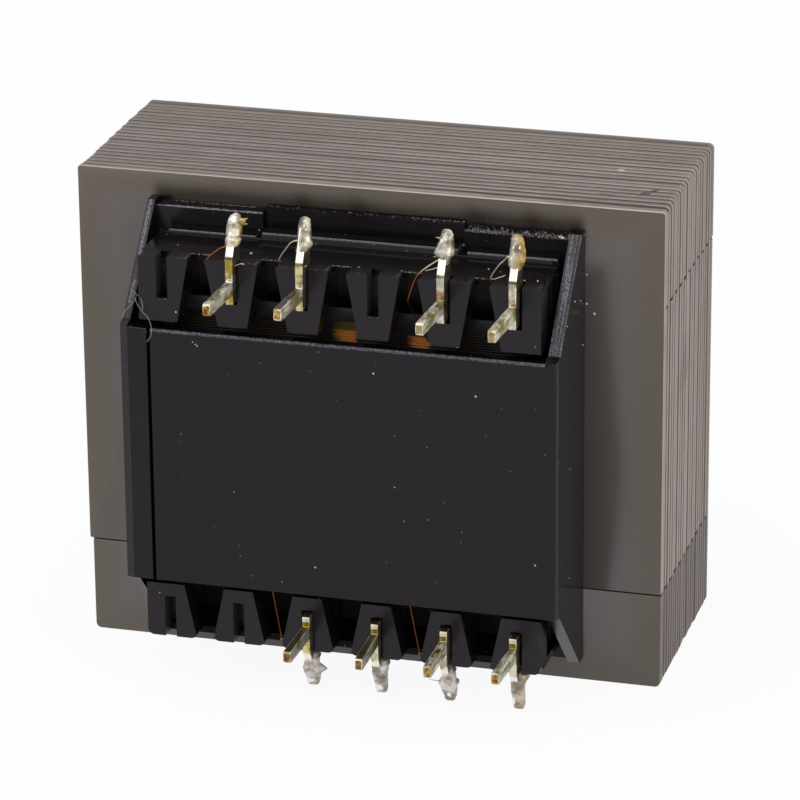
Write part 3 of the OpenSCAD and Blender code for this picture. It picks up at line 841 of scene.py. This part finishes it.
cover_black = black_nylon("cover_black", "8c8c95", (0.7, 0.1, 0.03), 0.9, 0.24)
apron_top, apron_out = barrier_top - 0.3 * mm, 1.05 * mm
plate_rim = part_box("coil_tape")[1].z + 0.75 * mm
plate_edges = [(level_edge(apron_top, apron_out, shortest=3 * mm), 0.16 * mm, 4, 0.06),
               (level_edge(plate_rim, cover_out, shortest=10 * mm), 0.2 * mm, 5, 0.42),
               (level_edge(plate_rim, cover_out - 1 * mm, shortest=10 * mm), 0.06 * mm, 4, 0.4)]
lip_edges = [(level_edge(apron_top, apron_out, shortest=3 * mm), 0.1 * mm, 4, 0.75),
             (level_edge(plate_rim, cover_out, shortest=0.5 * mm), 0.08 * mm, 4, 0.3),
             (upright_edge(thin_wall_x + 0.6 * mm, cover_out), 0.05 * mm, 4, 0.32)]
for half, edges in (("plate", plate_edges), ("lip", lip_edges)):
    for side, scuffed_and_lit in (("front", edges), ("back", ())):
        guard = softened(f"{side}_guard_{half}", packed(f"{side}_cover_{half}"), cover_black, 0.08 * mm, scuffed_and_lit)
        fitted(guard, "black_plastic", f"{side}_cover_{half}")

# Torn flash and dust along the top edges of the barrier and of the aprons: small crumbs of plastic.
crumb, tree, shader = finish_of("torn_plastic")
pale = mark(tree, "pale")
colour = mixed(pale, "121112", "8c8884")
colour = mixed(pale > 1.3, colour, "d6d2c8")
feed(shader, Base_Color=colour, Roughness=0.5, Specular_IOR_Level=0.3)


def crumbs(name, places):
    """Small uneven crumbs as one piece: each place is a point, a size and how pale it is."""
    points, faces, shades = [], [], []
    corners = [(1, 0, 0), (-1, 0, 0), (0, 1, 0), (0, -1, 0), (0, 0, 1), (0, 0, -1)]
    sides = [(0, 2, 4), (2, 1, 4), (1, 3, 4), (3, 0, 4), (2, 0, 5), (1, 2, 5), (3, 1, 5), (0, 3, 5)]
    for place, size, tone in places:
        start = len(points)
        grow = [size * hands.uniform(0.6, 1.2) for _ in corners]
        points += [Vector(place) + Vector(c) * g for c, g in zip(corners, grow)]
        faces += [tuple(start + i for i in side) for side in sides]
        shades += [tone] * 6
    return piece(name, points, faces, [crumb], marks={"pale": shades})


def ragged(x0, x1, before, z, count, spread, biggest, palest=1.0, pale_from=0.0):
    """Crumbs scattered along an edge: from and to across, how far before the core, its height, how
    many, how far they stray and how big the biggest is; then how pale they are."""
    row = []
    for _ in range(count):
        size = biggest * hands.uniform(0.25, 1.0) ** 1.6
        x, y = hands.uniform(x0, x1), core_front - before + hands.uniform(-spread, spread)
        z_here = z + hands.uniform(-spread, 0.3 * spread)
        row.append(((x, y, z_here), size, pale_from + palest * hands.uniform(0.0, 1.0) ** 1.5))
    return row


# The edges that are torn: the barrier and the right apron most, then the left apron, the slots'
# ends, the posts and the skin between them. All lengths but the height are in millimetres.
torn = [(-7.0, 7.0, 0.45, barrier_top, 300, 0.1, 0.07), (3.5, 7.0, 0.45, barrier_top, 130, 0.1, 0.1),
        (7.4, 15.2, 0.2, apron_top, 150, 0.16, 0.09), (7.4, 15.2, 0.55, apron_top, 240, 0.16, 0.11),
        (7.4, 15.2, 0.92, apron_top, 420, 0.16, 0.12), (-14.9, -8.2, 0.2, apron_top, 60, 0.08, 0.06),
        (-11.5, -8.0, 0.12, apron_top + 0.02 * mm, 150, 0.02, 0.06, 0.6, 0.4),
        (-13.8, -11.5, 0.12, apron_top + 0.02 * mm, 40, 0.02, 0.06, 0.6, 0.4)]
torn += [(x - 0.36, x + 0.36, 7.5, slot_foot - 0.01 * mm, 36, 0.02, 0.05, 0.6, 0.3) for x in (-12.5, 2.5)]
torn += [(-14.9, -10.5, 0.95, apron_top - 0.05 * mm, 70, 0.08, 0.05)]
torn += [(post + near, post + near + 1.1, 7.45, rail_top, 12, 0.05, 0.05)
         for post in (-12.5, -7.5, -2.5, 2.5, 7.5, 12.5) for near in (-1.6, 0.5)]
torn += [(gap - 0.75, gap + 0.75, 6.32, rail_top - 0.03 * mm, 60, 0.03, 0.07, 0.5, 0.5)
         for gap in (-10, -5, 0, 5, 10)]
crumb_rows = []
for x0, x1, before, z, count, spread, biggest, *tones in torn:
    crumb_rows += ragged(x0 * mm, x1 * mm, before * mm, z, count, spread * mm, biggest * mm, *tones)
for x, rise, size in ((8.1, 0.03, 0.14), (8.3, 0.12, 0.17), (8.5, 0.05, 0.12), (7.6, 0.0, 0.1)):
    crumb_rows.append(((x * mm, core_front - 0.5 * mm, apron_top + rise * mm), size * mm, 0.0))
# Single specks: a chip on the right apron, then dust on the right wall, the rail and the plate.
for x, before, z, size in ((14.1, 1.1, 33.2, 0.16), (13.9, 1.1, 33.28, 0.1), (15.45, 3.0, 29.4, 0.07),
                           (15.45, 1.4, 28.9, 0.06), (15.45, 5.2, 28.4, 0.06), (15.45, 0.6, 25.4, 0.07),
                           (12.7, 6.1, 31.75, 0.08), (13.6, 6.0, 31.75, 0.1), (9.8, 4.5, 31.75, 0.07),
                           (10.7, 4.8, 31.75, 0.05), (-12.1, 5.0, 31.75, 0.06), (-6.7, 5.4, 31.75, 0.12),
                           (-10.0, 8.0, 25.75, 0.08), (-10.2, 8.0, 25.9, 0.06), (-9.9, 8.0, 25.65, 0.07),
                           (15.55, 0.05, 28.2, 0.1), (16.1, 0.0, 27.5, 0.12), (15.55, 0.0, 30.3, 0.07)):
    crumb_rows.append(((x * mm, core_front - before * mm, z * mm), size * mm, 1.6))
fitted(crumbs("torn_flash", crumb_rows), "black_plastic")

# ---- Pins ----
# Stamped from brass sheet and tinned: a leg for the board, a bar held in the post's slot, a bend
# and a terminal. The cut end of the leg shows the brass, its upper side is dark with scratches and
# painted dark reflection, and no two legs stand quite alike.

bar_front = core_front - cover_out - 0.2 * mm
tinned, tree, shader = finish_of("tinned_brass")
place = place_of(tree)
facing = facing_of(tree)
lift, past_bend, grime, gold = (mark(tree, name) for name in ("lift", "past_bend", "grime", "gold"))
clean = 1.0 - gold
on_leg = place.y < bar_front - 0.06 * mm
off_leg = 1.0 - on_leg
at_tip = place.y < bar_front - 3.5 * mm
forward = smooth_steps(-facing.y, 0.6, 0.85)
upwards = smooth_steps(facing.z, 0.6, 0.95)
sideways = smooth_steps(abs(facing.x), 0.75, 0.98)
mottled = smooth_steps(cloudy(tree, 1500.0, 5.0, (1.0, 0.4, 1.0), 0.65), 0.4, 0.6)
colour = mixed(mottled, "8f8552", "ece7d2")
# The bar's front is brass-coloured on some pins and grey on others, with rust at its foot.
bar = forward * off_leg * (past_bend < 0.0)
grey = mixed(mottled, "a8a296", "dcd8cc")
brass = mixed(mottled, "9c8638", "d6c68c")
colour = mixed(bar, colour, mixed(gold, grey, brass))
lower = place.z < core_h / 2
upper = 1.0 - lower
foot = 1.0 - smooth_steps(lift, 0.3 * mm, 0.9 * mm)
foot = bar * upper * (foot * clean) * (lift > -0.1 * mm)
spots = smooth_steps(cloudy(tree, 3600.0, 4.0), 0.36, 0.58)
colour = mixed(foot * spots, colour, "a8690e")
# Painted highlight: a broken white band on the upper bars' front just above the leg, where the bend catches
# the light.
heel_highlight = bar * upper * span(lift, -0.1 * mm, 0.28 * mm)
heel_highlight *= smooth_steps(cloudy(tree, 1900.0, 3.0), 0.44, 0.52)
colour = mixed(heel_highlight * gold, colour, "fbf6e6")
# The lower pins' inner ends are pale above and stained yellow where the leg starts.
inner_end = bar * lower * (lift > 0.0)
end_tone = mixed(smooth_steps(lift, 0.34 * mm, 0.42 * mm), "a08c22", "dcdabc")
end_tone = mixed(span(lift, 0.3 * mm, 0.36 * mm), end_tone, "5a4a14")
colour = mixed(inner_end, colour, end_tone)
# Past the bend the tin is painted bright, a painted highlight on the bent facet, after a crease painted dark
# as painted shade and reflection.
bright_from = smooth_steps(past_bend, 0.1 * mm, 0.24 * mm)
facet_highlight = off_leg * bright_from * (1.0 - sideways)
colour = mixed(facet_highlight, colour, mixed(cloudy(tree, 700.0), "e4dfd0", "ffffff"))
crease_shade = off_leg * span(past_bend, -0.04 * mm, 0.14 * mm)
colour = mixed(crease_shade * upper * 0.75, colour, "3a3226")
# The cut end is bare brass with a light rim; dirt darkens it.
cut_end = forward * at_tip
cut_tone = mixed(smooth_steps(cloudy(tree, 2200.0, 3.0), 0.4, 0.6), "6e4a18", "c4a058")
cut_tone = mixed(smooth_steps(grime, 0.7, 0.95), cut_tone,
                 mixed(smooth_steps(cloudy(tree, 2600.0, 3.0), 0.5, 0.6), "6a463c", "a87a2c"))
pale_end = mixed(cloudy(tree, 2200.0, 3.0), "7c6c46", "c2b48a")
cut_tone = mixed(clean * upper * 0.75, cut_tone, pale_end)
flat_end = smooth_steps(-facing.y, 0.9, 0.99)
colour = mixed(cut_end * flat_end, colour, cut_tone)
# Dark patches: scratched dirt on the legs' sides, more on the lower row, and on the leg's upper side, where
# it is partly a painted dark reflection; painted shade on the sides of the bar, in the slot, and on its inner
# end.
scratched = smooth_steps(cloudy(tree, 2600.0, 5.0, (1.0, 0.3, 1.0), 0.7) + (grime - 0.5) * 0.5, 0.44, 0.54)
leg_side = on_leg * sideways * scratched * (0.2 + lower * 0.5)
top_side = on_leg * upwards * (0.35 + scratched * 0.62)
bar_side = off_leg * sideways * 0.93
bar_top = off_leg * upwards * lower
dirt_and_shade = most(leg_side, top_side, most(bar_side, bar_top))
colour = mixed(dirt_and_shade, colour, mixed(cloudy(tree, 1100.0, 3.0), "17130e", "3a2c18"))
rough_side = on_leg * (1.0 - forward) * 0.6
less = most(dirt_and_shade * 0.75, rough_side)
feed(shader, Base_Color=colour, Metallic=0.85 - less,
     Roughness=ranged(cloudy(tree, 1300.0, 3.0), 0.22, 0.45),
     Normal=raised(cloudy(tree, 2600.0, 4.0, (1.0, 0.4, 1.0)), 0.03 * mm, 0.6), Specular_IOR_Level=0.3)

# How each pin sits, in millimetres: the bar to the right, and the leg's tip to the right, up and
# outwards; then how dirty it is and how much of its brass shows.
pin_sits = [(0.05, -0.06, 0.09, 0.0, 0.5, 1.0), (0.01, -0.09, 0.2, 0.0, 0.6, 0.85),
            (-0.1, -0.27, 0.07, 0.0, 0.35, 0.0), (-0.11, -0.32, 0.0, 0.0, 0.3, 0.1),
            (0.1, 0.03, 0.01, -0.35, 0.95, 1.0), (0.04, 0.14, 0.04, -0.4, 0.85, 0.5),
            (-0.02, 0.0, 0.04, -0.35, 0.45, 0.3), (-0.07, -0.22, 0.05, -0.4, 0.4, 0.1)]
leg_from = bar_front - 1.0 * mm
for n, (bar_right, tip_right, tip_up, tip_out, dirt, brassy) in enumerate(pin_sits, 1):
    high_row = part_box(f"pin_{n}")[0].z > core_h / 2

    def bent(co):
        """A point moved sideways with the bar, or as the leg is bent."""
        if co.y < leg_from:
            return co + Vector((tip_right, -tip_out, tip_up)) * mm
        return co + Vector((bar_right * mm, 0.0, 0.0))

    made = softened(f"stamped_pin_{n}", packed(f"pin_{n}"), tinned, 0.07 * mm, warp=bent)
    points = [vert.co for vert in made.data.vertices]
    leg_high = max(co.z for co in points if co.y < leg_from) - tip_up * mm
    bend = rail_top + 0.45 * mm if high_row else core_h - rail_top + 0.1 * mm
    carry(made.data, {"lift": [co.z - leg_high for co in points],
                      "past_bend": [(co.z - bend) * (1 if high_row else -1) for co in points],
                      "grime": [dirt] * len(points), "gold": [brassy] * len(points)})
    fitted(made, "tinned_pin", f"pin_{n}")

# ---- Solder ----
# Each lead is soldered to the end of a terminal by hand, so no two joints are alike: most are
# drawn out to a blunt tip, some have a horn or a flash where the iron left them, and the upper
# ones are stained yellow by flux. The joints on the lower row are dull.

solder, tree, shader = finish_of("soft_solder")
stain, dull = mark(tree, "flux"), mark(tree, "dull")
# Painted reflections: the solder's light and dark patches and dark spots, and the lower joints' grey from
# dark to light, stand in for what the metal reflects.
reflection_patches = banded(cloudy(tree, 1000.0, 4.0), (0.38, "5e584c"), (0.45, "8d887c"), (0.53, "b6b1a5"),
                 (0.62, "f4f1e8"))
grey = mixed(smooth_steps(cloudy(tree, 900.0, 4.0), 0.38, 0.62), "8a8079", "ebe5e0")
colour = mixed(dull, reflection_patches, grey)
dark_reflection_spots = smooth_steps(cloudy(tree, 2300.0, 4.0), 0.6, 0.68)
colour = mixed(dark_reflection_spots * 0.45, colour, "5c5346")
yellow = stain * smooth_steps(cloudy(tree, 900.0, 3.0), 0.15, 0.42)
flux_tone = mixed(smooth_steps(cloudy(tree, 1500.0), 0.4, 0.6), "6e5608", "c8a62e")
colour = mixed(yellow, colour, flux_tone)
feed(shader, Base_Color=colour, Metallic=0.6 - most(yellow, dull) * 0.4, Roughness=ranged(dull, 0.28, 0.4),
     Normal=raised(cloudy(tree, 1600.0, 3.0), 0.03 * mm, 0.5))


def along(stations, t):
    """The values of a list of stations at t, running smoothly from one station to the next."""
    for a, b in zip(stations, stations[1:]):
        if t <= b[0]:
            s = (t - a[0]) / (b[0] - a[0])
            s = s * s * (3 - 2 * s)
            return [p + (q - p) * s for p, q in zip(a[1:], b[1:])]
    return list(stations[-1][1:])


def tube_faces(rings, count, start=0):
    """Faces between rings of count points, and a cap at each end."""
    faces = []
    for j in range(rings - 1):
        a = start + j * count
        faces += [(a + i, a + (i + 1) % count, a + count + (i + 1) % count, a + count + i)
                  for i in range(count)]
    end = start + (rings - 1) * count
    return faces + [tuple(reversed(range(start, start + count))), tuple(range(end, end + count))]


# The lower joints' middle line, as millimetres past the rail's end and before the core, with the
# least half thickness; the upper ones' is straight. Then how wide each joint is along its line and
# how far it leans to the right.
lower_line = [(0.05, 6.9, 0.4), (0.35, 7.0, 0.45), (0.6, 7.2, 0.6), (1.0, 7.17, 0.58), (2.72, 6.6, 0.46),
              (2.95, 6.55, 0.2), (3.2, 6.5, 0.08)]
solder_shapes = [
    [(1.2, 0.92, 0.02), (1.35, 1.05, 0.04), (1.6, 1.12, 0.06), (1.72, 0.94, 0.02), (1.95, 1.12, 0.04),
     (2.3, 1.1, 0.04), (2.7, 1.0, 0.0), (2.98, 0.8, 0.02), (3.12, 0.5, 0.06), (3.2, 0.14, 0.08)],
    [(1.2, 0.82, 0.02), (1.4, 0.98, 0.1), (1.65, 1.16, 0.18), (1.95, 0.98, 0.08), (2.4, 0.92, 0.04),
     (2.8, 0.88, 0.0), (3.1, 0.76, -0.02), (3.25, 0.54, -0.04), (3.32, 0.14, -0.04)],
    [(1.2, 0.76, 0.04), (1.5, 0.84, 0.06), (1.62, 1.1, 0.02), (1.78, 1.36, -0.02), (2.0, 1.34, 0.0),
     (2.3, 1.2, 0.04), (2.6, 1.02, 0.06), (2.9, 0.86, 0.06), (3.12, 0.7, 0.02), (3.24, 0.56, 0.0),
     (3.26, 0.3, 0.0)],
    [(1.2, 0.76, 0.0), (1.5, 1.05, 0.02), (1.85, 1.2, 0.06), (2.25, 1.14, 0.04), (2.7, 0.96, -0.04),
     (3.05, 0.84, -0.1), (3.2, 0.6, -0.16), (3.3, 0.16, -0.2)],
    [(0.05, 0.6, 0.1), (0.25, 0.95, 0.12), (0.5, 1.02, 0.1), (0.72, 0.95, 0.06), (1.1, 1.06, 0.04),
     (1.35, 1.2, 0.04), (1.7, 1.2, 0.06), (2.1, 1.0, 0.0), (2.5, 0.84, 0.0), (2.8, 0.72, 0.0),
     (2.92, 0.4, 0.0)],
    [(0.05, 0.6, 0.12), (0.2, 1.08, 0.16), (0.45, 1.16, 0.12), (0.9, 1.06, 0.06), (1.4, 0.94, 0.02),
     (1.9, 0.86, 0.0), (2.5, 0.8, 0.0), (2.84, 0.7, 0.0), (2.98, 0.36, 0.0)],
    [(0.05, 0.6, 0.1), (0.3, 0.88, 0.1), (0.7, 0.9, 0.06), (1.15, 1.08, 0.02), (1.38, 1.4, 0.02),
     (1.46, 1.38, 0.02), (1.6, 1.16, 0.0), (2.1, 0.98, 0.0), (2.6, 0.82, 0.0), (2.9, 0.66, 0.0),
     (3.05, 0.3, 0.0)],
    [(0.05, 0.7, 0.2), (0.15, 1.28, 0.2), (0.4, 1.22, 0.18), (0.8, 1.0, 0.08), (1.3, 0.9, 0.02),
     (1.9, 0.84, 0.0), (2.6, 0.8, 0.0), (2.95, 0.7, 0.0), (3.12, 0.34, 0.0)],
]
# Horns and flashes: which joint, where along it, how far to the right, how thick, how far outwards
# and how it tapers, from 0 for not at all to 1 for evenly.
solder_horns = [(1, 2.55, 0.84, 0.74, 0.22, 0.45), (1, 2.62, 0.98, 0.24, 0.34, 0.45),
                (1, 2.5, 0.98, 0.24, 0.08, 0.45), (3, 2.62, -0.72, 0.3, 0.14, 0.9),
                (3, 1.62, -0.78, 0.3, -0.1, 0.9), (4, 3.18, -0.5, 0.2, 0.1, 0.9),
                (5, 1.45, 1.12, 1.3, -0.04, 0.8), (7, 1.4, -1.4, 0.08, 0.0, 0.9),
                (7, 1.42, -0.9, 0.26, 0.0, 0.9)]
# How much flux has stained each joint, and its horns.
flux_on = ((0.95, 0.8), (0.35, 0.0), (0.2, 0.12), (1.0, 0.6), (0.15, 0.09), (0.1, 0.0), (0.1, 0.06),
           (0.35, 0.0))
ring_points, ring_count = 24, 44
horn_points, horn_count = 10, 9


def joint_of(n):
    """A joint's middle across, 1 in the upper row or -1 in the lower one, and its rail's end."""
    low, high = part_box(f"solder_{n}")
    upward = 1 if (low.z + high.z) / 2 > core_h / 2 else -1
    return (low.x + high.x) / 2, upward, rail_top if upward > 0 else core_h - rail_top


def joint_point(n, step):
    """A point by a joint, from millimetres to the left, past the rail's end and before the core."""
    left, past, before = step
    middle_x, upward, rail_end = joint_of(n)
    return Vector((middle_x - left * mm, core_front - before * mm, rail_end + upward * past * mm))


for n, (shape, (stained, horn_stained), sits) in enumerate(zip(solder_shapes, flux_on, pin_sits), 1):
    upward = joint_of(n)[1]
    first, last = shape[0][0], shape[-1][0]

    def line_at(past):
        """How far before the core the joint's middle lies, and its least half thickness."""
        return along(lower_line, past) if upward < 0 else (7.35 - (past - 1.2) * 0.495, 0.0)

    def centre_at(past):
        """The middle of the joint at a distance past its rail's end."""
        aside = sits[0] + (0.08 if upward < 0 and past > 0.4 else 0.0)
        return joint_point(n, (-aside, past, line_at(past)[0]))

    def rounded(value):
        """An oval's share across; the lower joints keep the terminal's squarer form."""
        return value if upward > 0 else math.copysign(abs(value) ** 0.55, value)

    points, flux = [], []
    for j in range(ring_count):
        past = first + (last - first) * j / (ring_count - 1)
        centre = centre_at(past)
        width, right = along(shape, past)
        thick = max(width * 0.4 + 0.08, line_at(past)[1])
        for i in range(ring_points):
            turn = 2 * math.pi * i / ring_points * upward
            x, y = rounded(math.cos(turn)) * width / 2, rounded(math.sin(turn)) * thick
            if past > last - 0.12:
                y *= max(0.3, (last - past) / 0.12)
            bump = noise.noise(Vector((x * 1.9, y * 1.9, past * 1.5 + n * 7))) * 0.1
            bump += noise.noise(Vector((x * 5, y * 5, past * 5 + n * 3))) * 0.035
            grow = 1 + bump * min(1.0, (last - past) * 3)
            points.append(centre + Vector((x * grow + right, y * grow, 0.0)) * mm)
            # The first joint's outer part is cleaner.
            cleaner = 0.2 if n == 1 and past > 1.9 else 0.0
            flux.append(stained * max(0.0, 0.5 + 0.5 * math.cos(turn - 0.5 * upward) - cleaner))
    faces = tube_faces(ring_count, ring_points)
    for past, reach, thick, rise, taper in (horn[1:] for horn in solder_horns if horn[0] == n):
        start = len(points)
        centre = centre_at(past)
        for j in range(horn_count):
            s = j / (horn_count - 1)
            r = thick / 2 * (1 - s) ** taper + 0.012
            axis = centre + Vector((reach * s, 0.0, upward * rise * s)) * mm
            for i in range(horn_points):
                turn = 2 * math.pi * i / horn_points * (1 if reach > 0 else -1)
                points.append(axis + Vector((0, math.cos(turn) * r, math.sin(turn) * r)) * mm)
                flux.append(horn_stained)
        faces += tube_faces(horn_count, horn_points, start)
    marks = {"flux": flux, "dull": [0.0 if upward > 0 else 1.0] * len(points)}
    made = piece(f"solder_joint_{n}", points, faces, [solder], marks=marks, smooth=70)
    fitted(made, "solder", f"solder_{n}")

# ---- Leads ----
# The ends of the windings: thin enamelled wires that come up between two posts and bend over to
# a terminal. Near the solder the enamel has burnt off and the copper is tinned.

lead_finish, tree, shader = finish_of("lead_wire")
bare = mark(tree, "tinned")
enamel = mixed(cloudy(tree, 900.0), "8a3e18", "b8703a")
feed(shader, Base_Color=mixed(bare, enamel, "c9c2a6"), Metallic=0.85, Roughness=0.3)


def through(stops, steps):
    """A smooth run of points through the stops."""
    run = []
    for i in range(len(stops) - 1):
        a, b, c, d = (stops[max(i - 1, 0)], stops[i], stops[i + 1], stops[min(i + 2, len(stops) - 1)])
        for k in range(steps):
            t = k / steps
            run.append(0.5 * (2 * b + (c - a) * t + (2 * a - 5 * b + 4 * c - d) * t * t
                              + (3 * b - a - 3 * c + d) * t * t * t))
    return run + [stops[-1]]


def wire(name, run, thick, finish, tinned_from):
    """A round wire along a run of points; it is tinned from the share tinned_from onwards."""
    count, points, bare = 8, [], []
    side = Vector((0.35, 0.8, 0.15))
    for j, p in enumerate(run):
        ahead = (run[min(j + 1, len(run) - 1)] - run[max(j - 1, 0)]).normalized()
        u = (side - ahead * side.dot(ahead)).normalized()
        v = ahead.cross(u)
        share = j / (len(run) - 1)
        for i in range(count):
            turn = 2 * math.pi * i / count
            points.append(p + (u * math.cos(turn) + v * math.sin(turn)) * thick / 2)
            bare.append(min(1.0, max(0.0, (share - tinned_from) / 0.12)))
    return piece(name, points, tube_faces(len(run), count), [finish], marks={"tinned": bare}, smooth=80)


coil_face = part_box("upper_winding")[0].y
lead_thick, whisker_thick, lint_thick = 0.1 * mm, 0.065 * mm, 0.028 * mm
lower_right = [(0.3, 0.1, 6.6), (0.3, -0.6, 6.0), (0.2, -2.4, 5.4)]
# For each lead from its solder: how far past the rail it starts, then its way as steps to the
# left, past the rail and before the core, and the share from which it is tinned.
lead_ways = [
    (1.1, [(0.47, 1.03, 7.3), (0.95, 0.75, 7.1), (1.5, 0.28, 6.9), (1.99, -0.21, 6.7),
           (2.27, -0.51, 6.5)], 1.2),
    (1.75, [(0.37, 1.88, 7.2), (0.86, 1.61, 7.03), (1.26, 1.1, 6.85), (1.67, 0.52, 6.67),
            (1.93, 0.03, 6.5)], 0.0),
    (1.45, [(0.37, 1.42, 7.3), (0.88, 1.05, 7.13), (1.53, 0.52, 6.97), (2.05, -0.03, 6.8),
            (2.4, -0.7, 6.63), (2.68, -1.47, 6.47), (2.9, -2.1, 6.3)], 0.45),
    (2.0, [(0.6, 2.04, 7.3), (0.9, 1.72, 7.14), (1.28, 1.33, 6.98), (1.58, 0.91, 6.82), (1.89, 0.42, 6.66),
           (2.06, 0.04, 6.5)], 0.0),
    (0.3, [(0.8, 0.1, 7.0), (2.1, -0.42, 6.8), (2.15, -0.5, 6.7), (2.8, -3.85, 6.5)], 1.2),
    (0.3, lower_right, 1.2),
    (0.3, [(0.8, 0.1, 7.0), (2.1, -0.42, 6.8), (2.15, -0.5, 6.7), (2.85, -3.85, 6.5)], 1.2),
    (0.3, lower_right, 1.2),
]
# Cut ends of other leads that stand out beside some terminals, in the same steps.
whiskers = [(1, [(-0.3, -0.2, 7.6), (-0.67, -0.03, 7.53), (-0.98, -0.06, 7.47), (-1.34, -0.12, 7.4)]),
            (2, [(-0.1, 0.12, 7.7), (-0.37, 0.23, 7.5)]),
            (3, [(0.5, 0.85, 7.3), (0.9, 0.65, 7.2), (1.42, 0.44, 7.0)]),
            (4, [(0.75, 0.78, 7.5), (1.47, 0.39, 7.25), (1.87, 0.23, 7.0)])]


for n, (start, way, tinned_share) in enumerate(lead_ways, 1):
    upward = joint_of(n)[1]
    run = through([joint_point(n, step) for step in [(0.15, start, 7.1)] + way], 8)
    end = run[-1]
    run.append(Vector((end.x + 0.3 * mm * (upward > 0), coil_face - 0.1 * mm, end.z - upward * 2.2 * mm)))
    run.reverse()
    thick = lead_thick if upward > 0 else 0.6 * lead_thick
    fitted(wire(f"lead_out_{n}", run, thick, lead_finish, tinned_share), "lead_wire", f"lead_{n}")
for number, (n, way) in enumerate(whiskers, 1):
    run = through([joint_point(n, step) for step in way], 6)
    fitted(wire(f"cut_end_{number}", run, whisker_thick, lead_finish, -1.0), "lead_wire")

# ---- Dust fibre ----
# A hair of lint that has caught on the thin wall where it meets the lip.

lint, tree, shader = finish_of("lint")
feed(shader, Base_Color=mixed(cloudy(tree, 2000.0), "8a8886", "c4c2be"), Roughness=0.8)
# Each fibre's way: millimetres to the right of the lip's left edge, up, and before the core.
lint_ways = [[(0.94, 28.76, 7.2), (1.19, 28.14, 7.4), (1.72, 27.64, 7.7), (2.2, 27.34, 8.0),
              (2.43, 26.68, 8.1), (2.37, 26.15, 8.1), (2.1, 25.67, 8.1)],
             [(0.69, 28.93, 7.0), (1.17, 28.75, 7.3), (1.62, 28.44, 7.6), (1.74, 27.87, 7.8)],
             [(1.1, 28.52, 7.2), (0.87, 28.12, 7.6), (0.47, 27.69, 7.8), (0.3, 27.16, 8.0)]]
for number, way in enumerate(lint_ways, 1):
    run = through([Vector((thin_wall_x + x * mm, core_front - d * mm, z * mm)) for x, z, d in way], 6)
    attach(wire(f"lint_{number}", run, lint_thick, lint, 0.0), "root")

# ---- Bounds of the finished scene ----
low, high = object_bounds()
